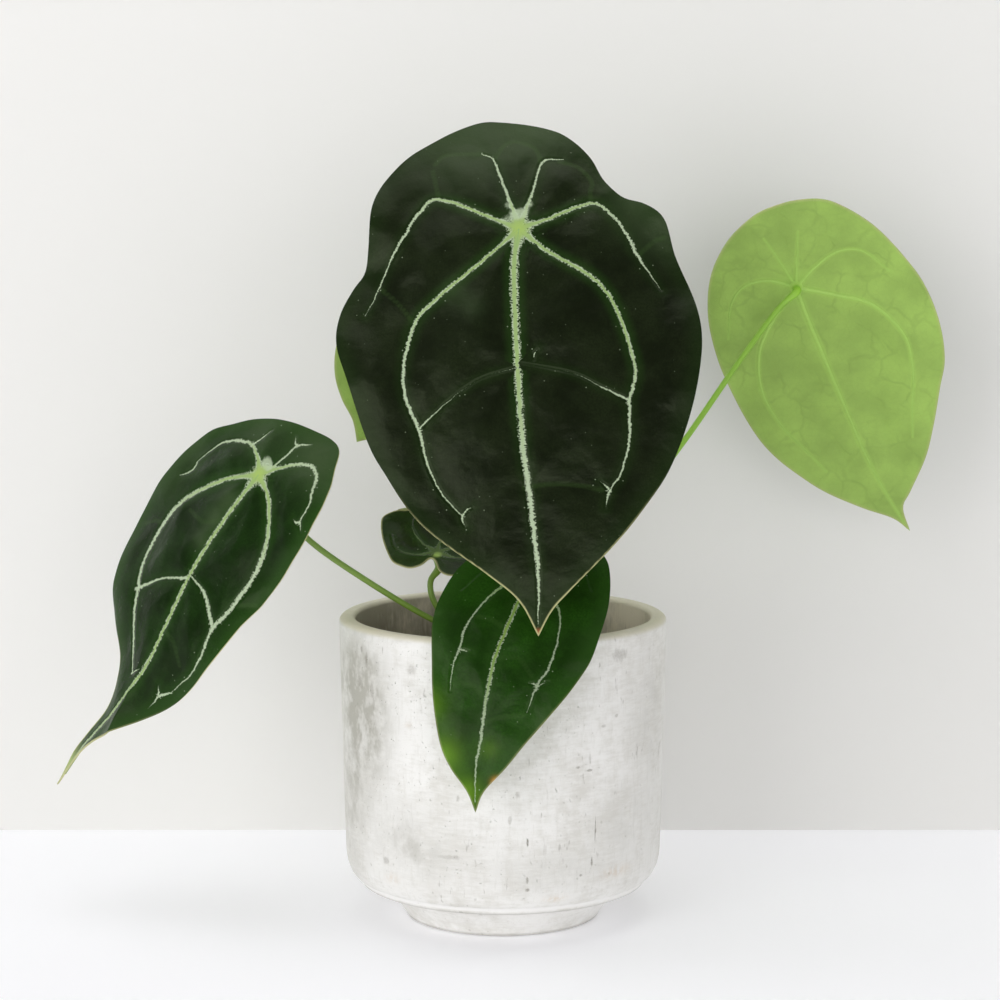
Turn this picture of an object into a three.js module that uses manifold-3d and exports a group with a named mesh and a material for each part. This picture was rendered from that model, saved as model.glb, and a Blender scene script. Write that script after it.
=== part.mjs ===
// Potted velvet-leaf aroid: a round cement pot with a set-in foot, bark potting mix, a short
// crown and six peltate leaves on thin stalks.
// Millimetres, +Z up. The origin is the centre of the pot's underside. The pot's axis is +Z and
// the largest leaf faces -Y.
import * as THREE from "three";
import { mergeVertices } from "three/addons/utils/BufferGeometryUtils.js";
import Module from "manifold-3d";

const wasm = await Module();
wasm.setup();

// Pot
const POT_RIM_RADIUS = 70;
const POT_HEIGHT = 130;
const POT_TAPER = 0.023; // radius lost for each millimetre below the rim
const POT_WALL = 7;
const RIM_ROUND = 2.8;
const LOWER_EDGE_RADIUS = 61.5; // bright edge where the wall turns in under the pot
const LOWER_EDGE_HEIGHT = 16.5;
const LOWER_ROUND = 14; // height of the rounded corner above that edge
const FOOT_RADIUS = 42;
const FOOT_TOP_RADIUS = 50;
const FOOT_HEIGHT = 12;
const FLOOR_HEIGHT = 12;
const FLOOR_RADIUS = 40;
const POT_SIDES = 44;

// Filling and crown
const GAP = 0.3; // clearance between pieces that touch
const MIX_HEIGHT = 104;
const MIX_LUMPS = 1.6;
const MIX_SIDES = 30;
const BARK_CHIPS = 26;
const CHIP_SIZE = [9, 5, 3.4];
const CHIP_INNER_RADIUS = 15;
const GOLDEN_ANGLE = 2.39996; // radians
const CROWN_RADIUS = 8.5;
const CROWN_BOTTOM = 90;
const CROWN_TOP = 115;

// Leaves
const BLADE_THICKNESS = 0.9;
const RIB_ABOVE = 0.45; // how far a vein's rib stands above the upper face, before it thins
const RIB_BELOW = 1.1; // how far it stands below the underside
const RIB_HALF_WIDTH = 1.2;
const RIB_STEP = 15;
const QUILT_HEIGHT = 0.9; // swell of the blade between its veins
const QUILT_REACH = 11;
const BOSS_RADIUS = 2;
const BOSS_LENGTH = 3;
const STALK_BASE_RADIUS = 1.9;
const STALK_RADIUS = 1.3;
const STALK_NECK_RADIUS = 1.75; // swollen joint just under the blade
const STALK_SIDES = 6;
const SOCKET_DEPTH = 7;
const SOCKET_RING_RADIUS = 4.8; // the stalks stand in a ring on the crown

// Each blade lies on its own curved surface. A point on it is [across, along] in millimetres
// from where the stalk joins, "along" growing towards the tip and "across" towards the right
// of someone who looks at the upper face with the tip down. The outline runs from the tip up
// the right side, over the top and down the left side. heading is the direction of the tip at
// the junction and face is the direction of the upper face there. tipBend and backBend are
// degrees of droop over reach and back millimetres, cup is degrees of droop in 50 mm across,
// fold and twist are [degrees, start, length] along the blade, and a swell is
// [across, along, radius, height].
const BLADES = {
  main: {
    junction: [6.4, -42, 294.6], heading: [0.045, -0.423, -0.906], face: [0, -0.906, 0.423],
    tipBend: 14, reach: 170, backBend: 16, back: 45, cup: 12, fold: [0, 0, 1], twist: [0, 0, 1],
    swells: [[-70, -10, 16, 5], [-66, 12, 14, -4], [64, -8, 15, 5], [70, 20, 14, -4],
      [-72, 62, 22, 3], [68, 66, 22, 3]],
    outline: [[0, 167], [6, 157], [14, 149], [33, 131], [46, 116], [56, 102], [65, 82], [71, 61],
      [73, 43], [70, 26], [64, 11], [60, -3], [52, -10], [43, -14], [36, -22], [31, -33],
      [23, -42], [13, -48], [-4, -52], [-16, -52], [-36, -43], [-46, -36], [-55, -26],
      [-60, -14], [-62, 2], [-64, 12], [-69, 19], [-75, 30], [-77, 43], [-73, 59], [-65, 86],
      [-58, 100], [-49, 115], [-39, 126], [-19, 142], [-7, 153]],
    topPoint: [-4, -52],
    midrib: [[0, -40], [0, 0], [-3, 22], [-3, 83], [-1, 111], [1, 142]],
    veins: [
      [[0, 0], [-3, 22], [-3, 83], [-1, 111], [1, 142], [0, 163]],
      [[0, 0], [-14, 12], [-36, 29], [-47, 47], [-50, 65], [-44, 82], [-41, 96], [-35, 111], [-26, 122]],
      [[-44, 82], [-35, 74], [-24, 66], [-16, 62], [-3, 59]],
      [[0, 0], [11, 10], [30, 23], [38, 36], [43, 54], [44, 63], [41, 74], [40, 90], [35, 106], [28, 119]],
      [[41, 74], [28, 67], [18, 62], [-3, 57]],
      [[0, 0], [-12, -6], [-32, -15], [-44, -5], [-52, 7], [-59, 24], [-63, 31]],
      [[0, 0], [12, -4], [29, -11], [37, -5], [47, 8], [57, 24], [60, 31]],
      [[0, 0], [-3, -12], [-8, -30], [-16, -37]],
      [[0, 0], [5, -13], [10, -30], [20, -34]]],
    azimuth: 320, stalk: [[9, -6, 130], [14, -7, 155], [15, -6, 195], [11, -9, 245], [7, -24, 284]],
    rows: 20, columns: 4,
  },
  left: {
    junction: [-101.5, -25, 192.6], heading: [-0.572, -0.082, -0.816], face: [-0.538, -0.715, 0.448],
    tipBend: 15, reach: 150, backBend: 18, back: 35, cup: 16, fold: [30, 75, 50], twist: [-14, 80, 70],
    swells: [[-60, 25, 16, 3], [38, 0, 14, 3], [42, 40, 16, -3]],
    outline: [[-29, 168], [-20, 149], [-12, 138], [1, 126], [14, 112], [22, 100], [29, 86], [33, 70],
      [36, 48], [39, 32], [41, 16], [40, -2], [36, -12], [31, -20], [26, -28], [19, -30], [7, -28],
      [-6, -25], [-20, -19], [-32, -11], [-43, -2], [-50, 11], [-52, 26], [-54, 41], [-53, 56],
      [-49, 69], [-43, 79], [-35, 87], [-25, 95], [-17, 103], [-13, 113], [-14, 124], [-20, 137],
      [-25, 149]],
    topPoint: [7, -28],
    midrib: [[5, -20], [0, 0], [-2, 24], [-2, 49], [1, 76], [2, 91], [0, 104], [-6, 121], [-17, 141]],
    veins: [
      [[0, 0], [-2, 24], [-2, 49], [1, 76], [2, 91], [0, 104], [-6, 121], [-17, 141], [-26, 161]],
      [[0, 0], [-16, 11], [-31, 28], [-35, 42], [-33, 61], [-27, 72], [-21, 81], [-14, 91], [-9, 101]],
      [[-27, 72], [-21, 65], [-14, 59], [-2, 53]],
      [[0, 0], [13, 6], [24, 20], [27, 34], [26, 53], [24, 63], [24, 78], [21, 97], [16, 106]],
      [[24, 63], [18, 58], [10, 53], [-2, 51]],
      [[0, 0], [-6, -6], [-18, -9], [-31, -3], [-40, 12], [-46, 27]],
      [[0, 0], [9, -9], [20, -16], [27, -12], [33, 2], [37, 12]],
      [[0, 0], [4, -13], [6, -20], [14, -24]],
      [[0, 0], [-2, -9], [-9, -16], [-18, -16]]],
    azimuth: 200, stalk: [[-14, -5, 122.5], [-29.7, -9, 128.7],
      [-56.1, -13, 145.2], [-81.4, -18, 164.2], [-94, -18, 181]],
    rows: 18, columns: 3,
  },
  right: {
    junction: [130.4, 62, 266.8], heading: [0.422, 0.241, -0.874], face: [0.089, 0.948, 0.305],
    tipBend: 18, reach: 120, backBend: 18, back: 40, cup: 12, fold: [0, 0, 1], twist: [0, 0, 1],
    swells: [[-52, 20, 16, 3], [44, 40, 18, 3]],
    outline: [[-5, 124], [0, 116], [11, 107], [22, 96], [31, 84], [39, 70], [44, 54], [46, 34],
      [45, 15], [41, -4], [33, -20], [22, -31], [10, -38], [-3, -41], [-18, -39], [-31, -32],
      [-42, -16], [-49, 2], [-53, 20], [-53, 38], [-49, 55], [-42, 67], [-33, 82], [-24, 95],
      [-12, 107], [-6, 113]],
    topPoint: [-3, -41],
    midrib: [[-1, -30], [0, 0], [1, 20], [1, 80], [-1, 102]],
    veins: [
      [[0, 0], [1, 20], [1, 80], [-1, 102], [-4, 120]],
      [[0, 0], [-15, 10], [-28, 20], [-36, 38], [-34, 54], [-28, 69], [-22, 84]],
      [[0, 0], [15, 10], [27, 22], [33, 40], [31, 57], [26, 70], [20, 85]],
      [[0, 0], [-12, -6], [-24, -9], [-34, -5], [-41, 8]],
      [[0, 0], [10, -8], [21, -10], [30, -4], [37, 10]],
      [[0, 0], [-7, -16], [-11, -25]],
      [[0, 0], [2, -15], [4, -28]]],
    azimuth: 20, stalk: [[10, 3.8, 123], [25, 10, 137], [52, 23, 167], [79.2, 37, 200.1], [103, 47, 233],
      [121, 53, 256.5]],
    rows: 16, columns: 3,
  },
  front: {
    junction: [12.5, -56, 157.5], heading: [-0.22, -0.659, -0.719], face: [0.001, -0.737, 0.676],
    tipBend: 48, reach: 110, backBend: 25, back: 25, cup: 14, fold: [0, 0, 1], twist: [0, 0, 1],
    swells: [[-36, 30, 14, 2], [30, 30, 14, -2]],
    outline: [[-3, 104], [-1, 95], [6, 84], [12, 73], [19, 61], [25, 50], [30, 37], [32, 25],
      [33, 10], [31, -4], [27, -14], [19, -20], [8, -21], [-3, -19], [-14, -13], [-23, -5],
      [-30, 5], [-34, 17], [-35, 31], [-32, 47], [-28, 63], [-22, 79], [-16, 88], [-8, 96]],
    topPoint: [3, -20],
    midrib: [[2, -14], [0, 0], [-4, 20], [-7, 42], [-7, 80], [-5, 97]],
    veins: [
      [[0, 0], [-4, 20], [-7, 42], [-7, 80], [-4, 100]],
      [[0, 0], [-11, 11], [-20, 22], [-23, 32], [-23, 47], [-20, 62]],
      [[0, 0], [6, 6], [13, 15], [17, 30], [15, 44], [11, 55], [8, 68]],
      [[0, 0], [-8, -2], [-18, 2], [-27, 15]],
      [[0, 0], [8, -7], [18, -8], [25, 4]],
      [[0, 0], [2, -12]]],
    azimuth: 260, stalk: [[1, -9, 125], [4, -18, 138], [8, -32, 150], [11.5, -46, 151.5]],
    rows: 16, columns: 3,
  },
  small: {
    junction: [-28, -5, 156], heading: [0.28, 0.75, 0.42], face: [-0.1, -0.48, 0.85],
    tipBend: -5, reach: 45, backBend: 10, back: 20, cup: 16, fold: [0, 0, 1], twist: [0, 0, 1],
    swells: [],
    outline: [[2, 52], [9, 43], [17, 35], [24, 30], [30, 29], [34, 25], [33, 19], [29, 10], [23, 0],
      [18, -7], [13, -10], [8, -11], [4, -8], [2, -3], [-1, -5], [-5, -11], [-10, -13],
      [-17, -10], [-23, -3], [-28, 8], [-31, 19], [-29, 27], [-22, 33], [-13, 38], [-5, 44]],
    topPoint: [2, -3],
    midrib: [[2, 8], [2, 25], [2, 42]],
    veins: [
      [[1, 2], [2, 12], [2, 45]],
      [[1, 2], [11, 9], [19, 20], [20, 29]],
      [[1, 2], [-9, 10], [-16, 20], [-17, 28]],
      [[1, 2], [10, -1], [20, 3], [26, 13]],
      [[1, 2], [-8, 0], [-17, 3], [-23, 12]]],
    azimuth: 140, stalk: [[-12, 4.2, 123], [-23.5, 1, 127], [-29.8, 0, 136], [-30.9, 0.4, 144]],
    rows: 12, columns: 3,
  },
  rear: {
    junction: [-42.1, 58, 253.2], heading: [-0.306, 0.255, -0.917], face: [-0.189, 0.928, 0.321],
    tipBend: 22, reach: 60, backBend: 25, back: 20, cup: 14, fold: [0, 0, 1], twist: [0, 0, 1],
    swells: [],
    outline: [[8, 60], [12, 51], [19, 43], [25, 33], [28, 21], [27, 8], [22, -4], [13, -12],
      [2, -14], [-9, -11], [-18, -3], [-23, 8], [-24, 21], [-21, 34], [-14, 45], [-4, 54]],
    topPoint: [2, -14],
    midrib: [[1, -9], [0, 0], [1, 25], [4, 45]],
    veins: [
      [[0, 0], [1, 25], [4, 45], [7, 57]],
      [[0, 0], [9, 5], [16, 15], [17, 28], [13, 41]],
      [[0, 0], [-7, 6], [-13, 16], [-13, 29], [-8, 41]],
      [[0, 0], [2, -9]]],
    azimuth: 80, stalk: [[3, 9, 128], [7, 20, 147], [9, 37, 185], [-6, 50, 222], [-32, 53, 245]],
    rows: 10, columns: 2,
  },
};

// Colours
const CEMENT = 0xd9d6cf;
const MIX_BROWN = 0x4a3626;
const CROWN_BROWN = 0x7d6a45;
const STALK_GREEN = 0x9cb848;
const BLADE_COLOURS = {
  main: 0x24331f, left: 0x24401f, right: 0x93b45c, front: 0x2c5a22, small: 0x28421f, rear: 0x9db862,
};

// Small seeded random generator, so that every build is the same.
function randomSource(seed) {
  let state = seed >>> 0;
  return () => {
    state = (state * 1664525 + 1013904223) >>> 0;
    return state / 4294967296;
  };
}

const radians = THREE.MathUtils.degToRad;
const smoothstep = (x) => THREE.MathUtils.smoothstep(x, 0, 1);

// Solids and meshes
function solid(geometry) {
  const bare = geometry.clone();
  bare.deleteAttribute("normal");
  bare.deleteAttribute("uv");
  const merged = mergeVertices(bare, 1e-4);
  return new wasm.Manifold(new wasm.Mesh({
    numProp: 3,
    vertProperties: new Float32Array(merged.attributes.position.array),
    triVerts: new Uint32Array(merged.index.array),
  }));
}

function meshOf(manifold, name, color, roughness) {
  const result = manifold.getMesh();
  const geometry = new THREE.BufferGeometry();
  geometry.setAttribute("position", new THREE.BufferAttribute(new Float32Array(result.vertProperties), 3));
  geometry.setIndex(new THREE.BufferAttribute(new Uint32Array(result.triVerts), 1));
  geometry.computeVertexNormals();
  const mesh = new THREE.Mesh(geometry, new THREE.MeshStandardMaterial({ color, roughness, metalness: 0 }));
  mesh.name = name;
  return mesh;
}

function indexedGeometry(points, faces) {
  const geometry = new THREE.BufferGeometry();
  geometry.setAttribute("position", new THREE.Float32BufferAttribute(points.flatMap((p) => p.toArray()), 3));
  geometry.setIndex(faces.flat());
  return geometry;
}

// A lathe around +Z from a profile of [radius, height] that starts and ends on the axis.
function lathe(profile, sides) {
  const points = profile.map(([radius, height]) => new THREE.Vector2(radius, height));
  return new THREE.LatheGeometry(points, sides).rotateX(Math.PI / 2);
}

function arc(centreRadius, centreHeight, radius, fromDegrees, toDegrees, steps) {
  return Array.from({ length: steps + 1 }, (_, i) => {
    const angle = radians(fromDegrees + ((toDegrees - fromDegrees) * i) / steps);
    return [centreRadius + radius * Math.cos(angle), centreHeight + radius * Math.sin(angle)];
  });
}

// A closed tube along a curve. radiusAt gives the radius at a fraction of its length.
function tube(curve, radiusAt, steps, sides) {
  const frames = curve.computeFrenetFrames(steps, false);
  const points = [];
  const faces = [];
  for (let i = 0; i <= steps; i++) {
    const centre = curve.getPointAt(i / steps);
    for (let j = 0; j < sides; j++) {
      const angle = (2 * Math.PI * j) / sides;
      points.push(centre.clone()
        .addScaledVector(frames.normals[i], radiusAt(i / steps) * Math.cos(angle))
        .addScaledVector(frames.binormals[i], radiusAt(i / steps) * Math.sin(angle)));
    }
  }
  for (let i = 0; i < steps; i++) {
    for (let j = 0; j < sides; j++) {
      const k = (j + 1) % sides;
      const [a, b, c, d] = [i * sides + j, i * sides + k, (i + 1) * sides + j, (i + 1) * sides + k];
      faces.push([a, b, d], [a, d, c]);
    }
  }
  for (let j = 1; j < sides - 1; j++) {
    faces.push([0, j + 1, j], [steps * sides, steps * sides + j, steps * sides + j + 1]);
  }
  return indexedGeometry(points, faces);
}

const curveThrough = (points) => new THREE.CatmullRomCurve3(
  points.map((p) => new THREE.Vector3(p[0], p[1], p[2] ?? 0)), false, "catmullrom", 0.5);

// Pot
const wallRadius = (height) => POT_RIM_RADIUS - POT_TAPER * (POT_HEIGHT - height);
const innerRadius = (height) => wallRadius(height) - POT_WALL;
const cornerTop = LOWER_EDGE_HEIGHT + LOWER_ROUND;
const innerCorner = [innerRadius(cornerTop), cornerTop];

function cornerProfile() {
  const width = wallRadius(cornerTop) - LOWER_EDGE_RADIUS;
  return Array.from({ length: 5 }, (_, i) => {
    const angle = (Math.PI / 2) * ((i + 0.6) / 4.6);
    return [LOWER_EDGE_RADIUS + width * Math.sin(angle),
      cornerTop - (LOWER_ROUND - 1) * Math.cos(angle)];
  });
}

function makePot() {
  const rimOuter = POT_RIM_RADIUS - RIM_ROUND;
  const rimInner = innerRadius(POT_HEIGHT) + RIM_ROUND;
  const profile = [
    [0, 0], [FOOT_RADIUS - 1.6, 0], [FOOT_RADIUS, 1.4],
    [FOOT_TOP_RADIUS - 1.5, FOOT_HEIGHT - 1.5], [FOOT_TOP_RADIUS + 1, FOOT_HEIGHT + 0.6],
    [LOWER_EDGE_RADIUS - 1.6, LOWER_EDGE_HEIGHT - 2], [LOWER_EDGE_RADIUS, LOWER_EDGE_HEIGHT - 0.6],
    ...cornerProfile(),
    ...arc(rimOuter, POT_HEIGHT - RIM_ROUND, RIM_ROUND, 0, 90, 3),
    ...arc(rimInner, POT_HEIGHT - RIM_ROUND * 0.7, RIM_ROUND * 0.7, 90, 180, 2),
    innerCorner, [FLOOR_RADIUS, FLOOR_HEIGHT], [0, FLOOR_HEIGHT],
  ];
  return solid(lathe(profile, POT_SIDES));
}

// Potting mix: a plug that fills the pot, with a lumpy top and bark chips set in it.
function lumpAt(x, y) {
  return MIX_LUMPS * (Math.sin(x * 0.19 + 1.3) * Math.cos(y * 0.23 - 0.6)
    + 0.6 * Math.sin(x * 0.41 - y * 0.33));
}

function makeMix() {
  const lift = GAP;
  const edge = (height) => innerRadius(height) - GAP;
  const topRings = [0.97, 0.8, 0.62, 0.44, 0.26].map((k) => [edge(MIX_HEIGHT) * k, MIX_HEIGHT]);
  const profile = [
    [0, FLOOR_HEIGHT + lift], [FLOOR_RADIUS - GAP, FLOOR_HEIGHT + lift],
    [innerCorner[0] - GAP, cornerTop + lift], [edge(MIX_HEIGHT - 2.5), MIX_HEIGHT - 2.5],
    ...topRings, [0, MIX_HEIGHT],
  ];
  const geometry = lathe(profile, MIX_SIDES);
  const position = geometry.attributes.position;
  for (let i = 0; i < position.count; i++) {
    if (position.getZ(i) > MIX_HEIGHT - 0.1) {
      position.setZ(i, MIX_HEIGHT - 1 + lumpAt(position.getX(i), position.getY(i)));
    }
  }
  let mix = solid(geometry);
  const random = randomSource(7);
  for (let n = 0; n < BARK_CHIPS; n++) {
    const size = CHIP_SIZE.map((length) => length * (0.7 + 0.7 * random()));
    const chip = new THREE.BoxGeometry(...size);
    const corners = chip.attributes.position;
    for (let i = 0; i < corners.count; i++) {
      const pinch = corners.getX(i) > 0 ? 0.62 : 1;
      corners.setY(i, corners.getY(i) * pinch);
    }
    const angle = n * GOLDEN_ANGLE;
    const radius = CHIP_INNER_RADIUS + (edge(MIX_HEIGHT) - 10 - CHIP_INNER_RADIUS) * Math.sqrt((n + 0.5) / BARK_CHIPS);
    const x = radius * Math.cos(angle);
    const y = radius * Math.sin(angle);
    const nearRoot = ROOTS.flat().some(([rx, ry]) => Math.hypot(rx - x, ry - y) < CHIP_SIZE[0]);
    if (nearRoot) continue;
    chip.rotateX((random() - 0.5) * 0.9).rotateY((random() - 0.5) * 0.7).rotateZ(random() * 6.28);
    chip.translate(x, y, MIX_HEIGHT - 1.6 + lumpAt(x, y));
    mix = mix.add(solid(chip));
  }
  return mix;
}

// Crown: the short stem that the stalks grow from, with papery scales and thick roots.
const CROWN_PROFILE = [
  [0, CROWN_BOTTOM], [CROWN_RADIUS - 2, CROWN_BOTTOM], [CROWN_RADIUS - 0.4, CROWN_BOTTOM + 4],
  [CROWN_RADIUS, MIX_HEIGHT + 2], [CROWN_RADIUS - 0.2, CROWN_TOP - 3], [CROWN_RADIUS - 1.3, CROWN_TOP - 0.6],
  [0, CROWN_TOP],
];
const SCALE_AZIMUTHS = [110, 230, 350];
const ROOTS = [
  [[4, 5, 108], [11, 12, 110.8], [17, 18, 107.5], [19, 20, 97]],
  [[-5, 4, 108], [-13, 9, 111], [-20, 13, 107.8], [-22, 15, 97]],
  [[3, -5, 107.5], [10, -12, 110.5], [17, -17, 107], [19, -19, 97]],
];
const ROOT_RADIUS = 1.6;

function offsetProfile(profile, amount) {
  return profile.map(([radius, height], i) => {
    if (i === 0) return [0, height - amount];
    if (i === profile.length - 1) return [0, height + 30];
    return [radius + amount, i === 1 ? height - amount : height + (i > 3 ? 30 : 0)];
  });
}

function makeCrown() {
  let crown = solid(lathe(CROWN_PROFILE, 16));
  for (const azimuth of SCALE_AZIMUTHS) {
    const scale = new THREE.ConeGeometry(4.2, 17, 6);
    scale.rotateX(Math.PI / 2).scale(0.42, 1, 1).rotateY(radians(9))
      .translate(CROWN_RADIUS - 1.4, 0, MIX_HEIGHT + 7.4).rotateZ(radians(azimuth));
    crown = crown.add(solid(scale));
  }
  for (const root of ROOTS) {
    crown = crown.add(solid(tube(curveThrough(root), () => ROOT_RADIUS, 7, 6)));
  }
  return crown;
}

function crownHole() {
  let hole = solid(lathe(offsetProfile(CROWN_PROFILE, GAP * 1.2), 16));
  for (const root of ROOTS) {
    const curve = curveThrough(root);
    const end = curve.getPointAt(1);
    const past = end.clone().addScaledVector(curve.getTangentAt(1), GAP * 1.2);
    const path = curveThrough([...root.slice(0, -1), past.toArray()]);
    hole = hole.add(solid(tube(path, () => ROOT_RADIUS + GAP * 1.8, 7, 6)));
  }
  return hole;
}

// Blades
function bladeFrame(blade) {
  const along = new THREE.Vector3(...blade.heading).normalize();
  const face = new THREE.Vector3(...blade.face);
  face.addScaledVector(along, -face.dot(along)).normalize();
  const across = new THREE.Vector3().crossVectors(face, along);
  return { origin: new THREE.Vector3(...blade.junction), along, face, across };
}

function distanceToSegments(a, b, segments) {
  let nearest = Infinity;
  for (const [[x0, y0], [x1, y1]] of segments) {
    const dx = x1 - x0;
    const dy = y1 - y0;
    const s = THREE.MathUtils.clamp(((a - x0) * dx + (b - y0) * dy) / (dx * dx + dy * dy), 0, 1);
    nearest = Math.min(nearest, Math.hypot(a - x0 - s * dx, b - y0 - s * dy));
  }
  return nearest;
}

// Returns the function that puts [across, along] on the blade's curved surface.
function bladeSurface(blade) {
  const { origin, along, face, across } = bladeFrame(blade);
  const segments = blade.veins.flatMap((vein) => vein.slice(1).map((point, i) => [vein[i], point]));
  const bendAt = (b) => radians(b > 0 ? blade.tipBend / blade.reach : blade.backBend / blade.back) * b;
  const ramp = ([degrees, start, length], b) => radians(degrees) * smoothstep((b - start) / length);
  const cup = radians(blade.cup) / 50;
  return (a, b) => {
    const bend = bendAt(b);
    const run = Math.abs(bend) < 1e-6 ? 1 : Math.sin(bend) / bend;
    const drop = Math.abs(bend) < 1e-6 ? 0 : (1 - Math.cos(bend)) / bend;
    const point = origin.clone().addScaledVector(along, b * run).addScaledVector(face, -b * drop);
    const normal = face.clone().multiplyScalar(Math.cos(bend)).addScaledVector(along, Math.sin(bend));
    const turn = ramp(blade.twist, b);
    const side = across.clone().multiplyScalar(Math.cos(turn)).addScaledVector(normal, Math.sin(turn));
    const up = normal.multiplyScalar(Math.cos(turn)).addScaledVector(across, -Math.sin(turn));
    const fold = ramp(blade.fold, b);
    const width = Math.abs(a);
    const out = (Math.sin(fold + cup * width) - Math.sin(fold)) / cup;
    const down = (Math.cos(fold) - Math.cos(fold + cup * width)) / cup;
    const gap = distanceToSegments(a, b, segments) / QUILT_REACH;
    let lift = QUILT_HEIGHT * (1 - Math.exp(-gap * gap));
    for (const [a0, b0, radius, height] of blade.swells) {
      lift += height * Math.exp(-((a - a0) ** 2 + (b - b0) ** 2) / radius ** 2);
    }
    return point.addScaledVector(side, Math.sign(a) * out).addScaledVector(up, lift - down);
  };
}

function surfaceNormal(surface, a, b) {
  const step = 1.5;
  const da = surface(a + step, b).sub(surface(a - step, b));
  const db = surface(a, b + step).sub(surface(a, b - step));
  return new THREE.Vector3().crossVectors(db, da).normalize();
}

// The blade's two halves are cut in rows from the outline to the midrib.
function bladeGrid(blade) {
  const outline = curveThrough([...blade.outline, blade.outline[0]]);
  const top = new THREE.Vector3(...blade.topPoint, 0);
  let split = 0;
  for (let i = 1; i < 400; i++) {
    if (outline.getPointAt(i / 400).distanceTo(top) < outline.getPointAt(split).distanceTo(top)) split = i / 400;
  }
  const tip = blade.outline[0];
  const topAt = outline.getPointAt(split);
  const midrib = curveThrough([[topAt.x, topAt.y], ...blade.midrib, tip]);
  return (t, u) => {
    const middle = midrib.getPointAt(t);
    const edge = outline.getPointAt(u > 0 ? split * (1 - t) : split + (1 - split) * t);
    return middle.lerp(edge, Math.abs(u));
  };
}

function bladeShell(blade, surface) {
  const grid = bladeGrid(blade);
  const columns = 2 * blade.columns;
  const upper = [];
  const lower = [];
  const add = (t, u) => {
    const { x: a, y: b } = grid(t, u);
    const point = surface(a, b);
    upper.push(point);
    lower.push(point.clone().addScaledVector(surfaceNormal(surface, a, b), -BLADE_THICKNESS));
  };
  add(0, 0);
  for (let i = 1; i < blade.rows; i++) {
    for (let j = 0; j <= columns; j++) add(i / blade.rows, (2 * j) / columns - 1);
  }
  add(1, 0);
  const last = upper.length - 1;
  const at = (i, j) => (i === 0 ? 0 : i === blade.rows ? last : 1 + (i - 1) * (columns + 1) + j);
  const faces = [];
  for (let i = 0; i < blade.rows; i++) {
    for (let j = 0; j < columns; j++) {
      const [a, b, c, d] = [at(i, j), at(i, j + 1), at(i + 1, j), at(i + 1, j + 1)];
      if (j < blade.columns) {
        if (a !== b) faces.push([a, c, b]);
        if (c !== d) faces.push([b, c, d]);
      } else {
        if (c !== d) faces.push([a, c, d]);
        if (a !== b) faces.push([a, d, b]);
      }
    }
  }
  const count = upper.length;
  const both = [...faces, ...faces.map(([a, b, c]) => [a + count, c + count, b + count])];
  const rim = [];
  for (let i = 0; i <= blade.rows; i++) rim.push(at(i, 0));
  for (let i = blade.rows - 1; i > 0; i--) rim.push(at(i, columns));
  rim.forEach((a, i) => {
    const b = rim[(i + 1) % rim.length];
    both.push([a, a + count, b + count], [a, b + count, b]);
  });
  return solid(indexedGeometry([...upper, ...lower], both));
}

// A vein's rib: a slim bar of diamond section that shows on both faces and thins to its end.
function rib(vein, surface) {
  const curve = curveThrough(vein);
  const steps = Math.max(2, Math.round(curve.getLength() / RIB_STEP));
  const points = [];
  for (let i = 0; i <= steps; i++) {
    const { x: a, y: b } = curve.getPointAt(i / steps);
    const tangent = curve.getTangentAt(i / steps);
    const size = 1 - 0.55 * (i / steps);
    const centre = surface(a, b);
    const normal = surfaceNormal(surface, a, b);
    const ahead = surface(a + tangent.x, b + tangent.y).sub(surface(a - tangent.x, b - tangent.y));
    const side = new THREE.Vector3().crossVectors(ahead, normal).normalize();
    const waist = centre.clone().addScaledVector(normal, -BLADE_THICKNESS / 2);
    points.push(
      centre.clone().addScaledVector(normal, RIB_ABOVE * size),
      waist.clone().addScaledVector(side, RIB_HALF_WIDTH * size),
      centre.clone().addScaledVector(normal, -BLADE_THICKNESS - RIB_BELOW * size),
      waist.clone().addScaledVector(side, -RIB_HALF_WIDTH * size));
  }
  const faces = [];
  for (let i = 0; i < steps; i++) {
    for (let j = 0; j < 4; j++) {
      const k = (j + 1) % 4;
      const [a, b, c, d] = [4 * i + j, 4 * i + k, 4 * i + 4 + j, 4 * i + 4 + k];
      faces.push([a, b, d], [a, d, c]);
    }
  }
  faces.push([0, 2, 1], [0, 3, 2]);
  const end = 4 * steps;
  faces.push([end, end + 1, end + 2], [end, end + 2, end + 3]);
  return indexedGeometry(points, faces);
}

function makeBlade(blade) {
  const surface = bladeSurface(blade);
  let leaf = bladeShell(blade, surface);
  for (const vein of blade.veins) leaf = leaf.add(solid(rib(vein, surface)));
  const { origin, face } = bladeFrame(blade);
  const boss = curveThrough([origin.clone().addScaledVector(face, -0.4).toArray(),
    origin.clone().addScaledVector(face, -BOSS_LENGTH).toArray()]);
  return leaf.add(solid(tube(boss, () => BOSS_RADIUS, 1, 6)));
}

// The upright line of the stalk's foot in the crown.
function socketLine({ azimuth }) {
  const x = SOCKET_RING_RADIUS * Math.cos(radians(azimuth));
  const y = SOCKET_RING_RADIUS * Math.sin(radians(azimuth));
  return [[x, y, CROWN_TOP - SOCKET_DEPTH], [x, y, CROWN_TOP - 2.5], [x, y, CROWN_TOP + 2]];
}

// A stalk runs from its socket in the crown to just under its blade.
function stalkCurve(blade) {
  const { origin, face } = bladeFrame(blade);
  const near = origin.clone().addScaledVector(face, -BOSS_LENGTH - GAP);
  const bend = origin.clone().addScaledVector(face, -BOSS_LENGTH - GAP - 4);
  return [...socketLine(blade), ...blade.stalk, bend.toArray(), near.toArray()];
}

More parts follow.
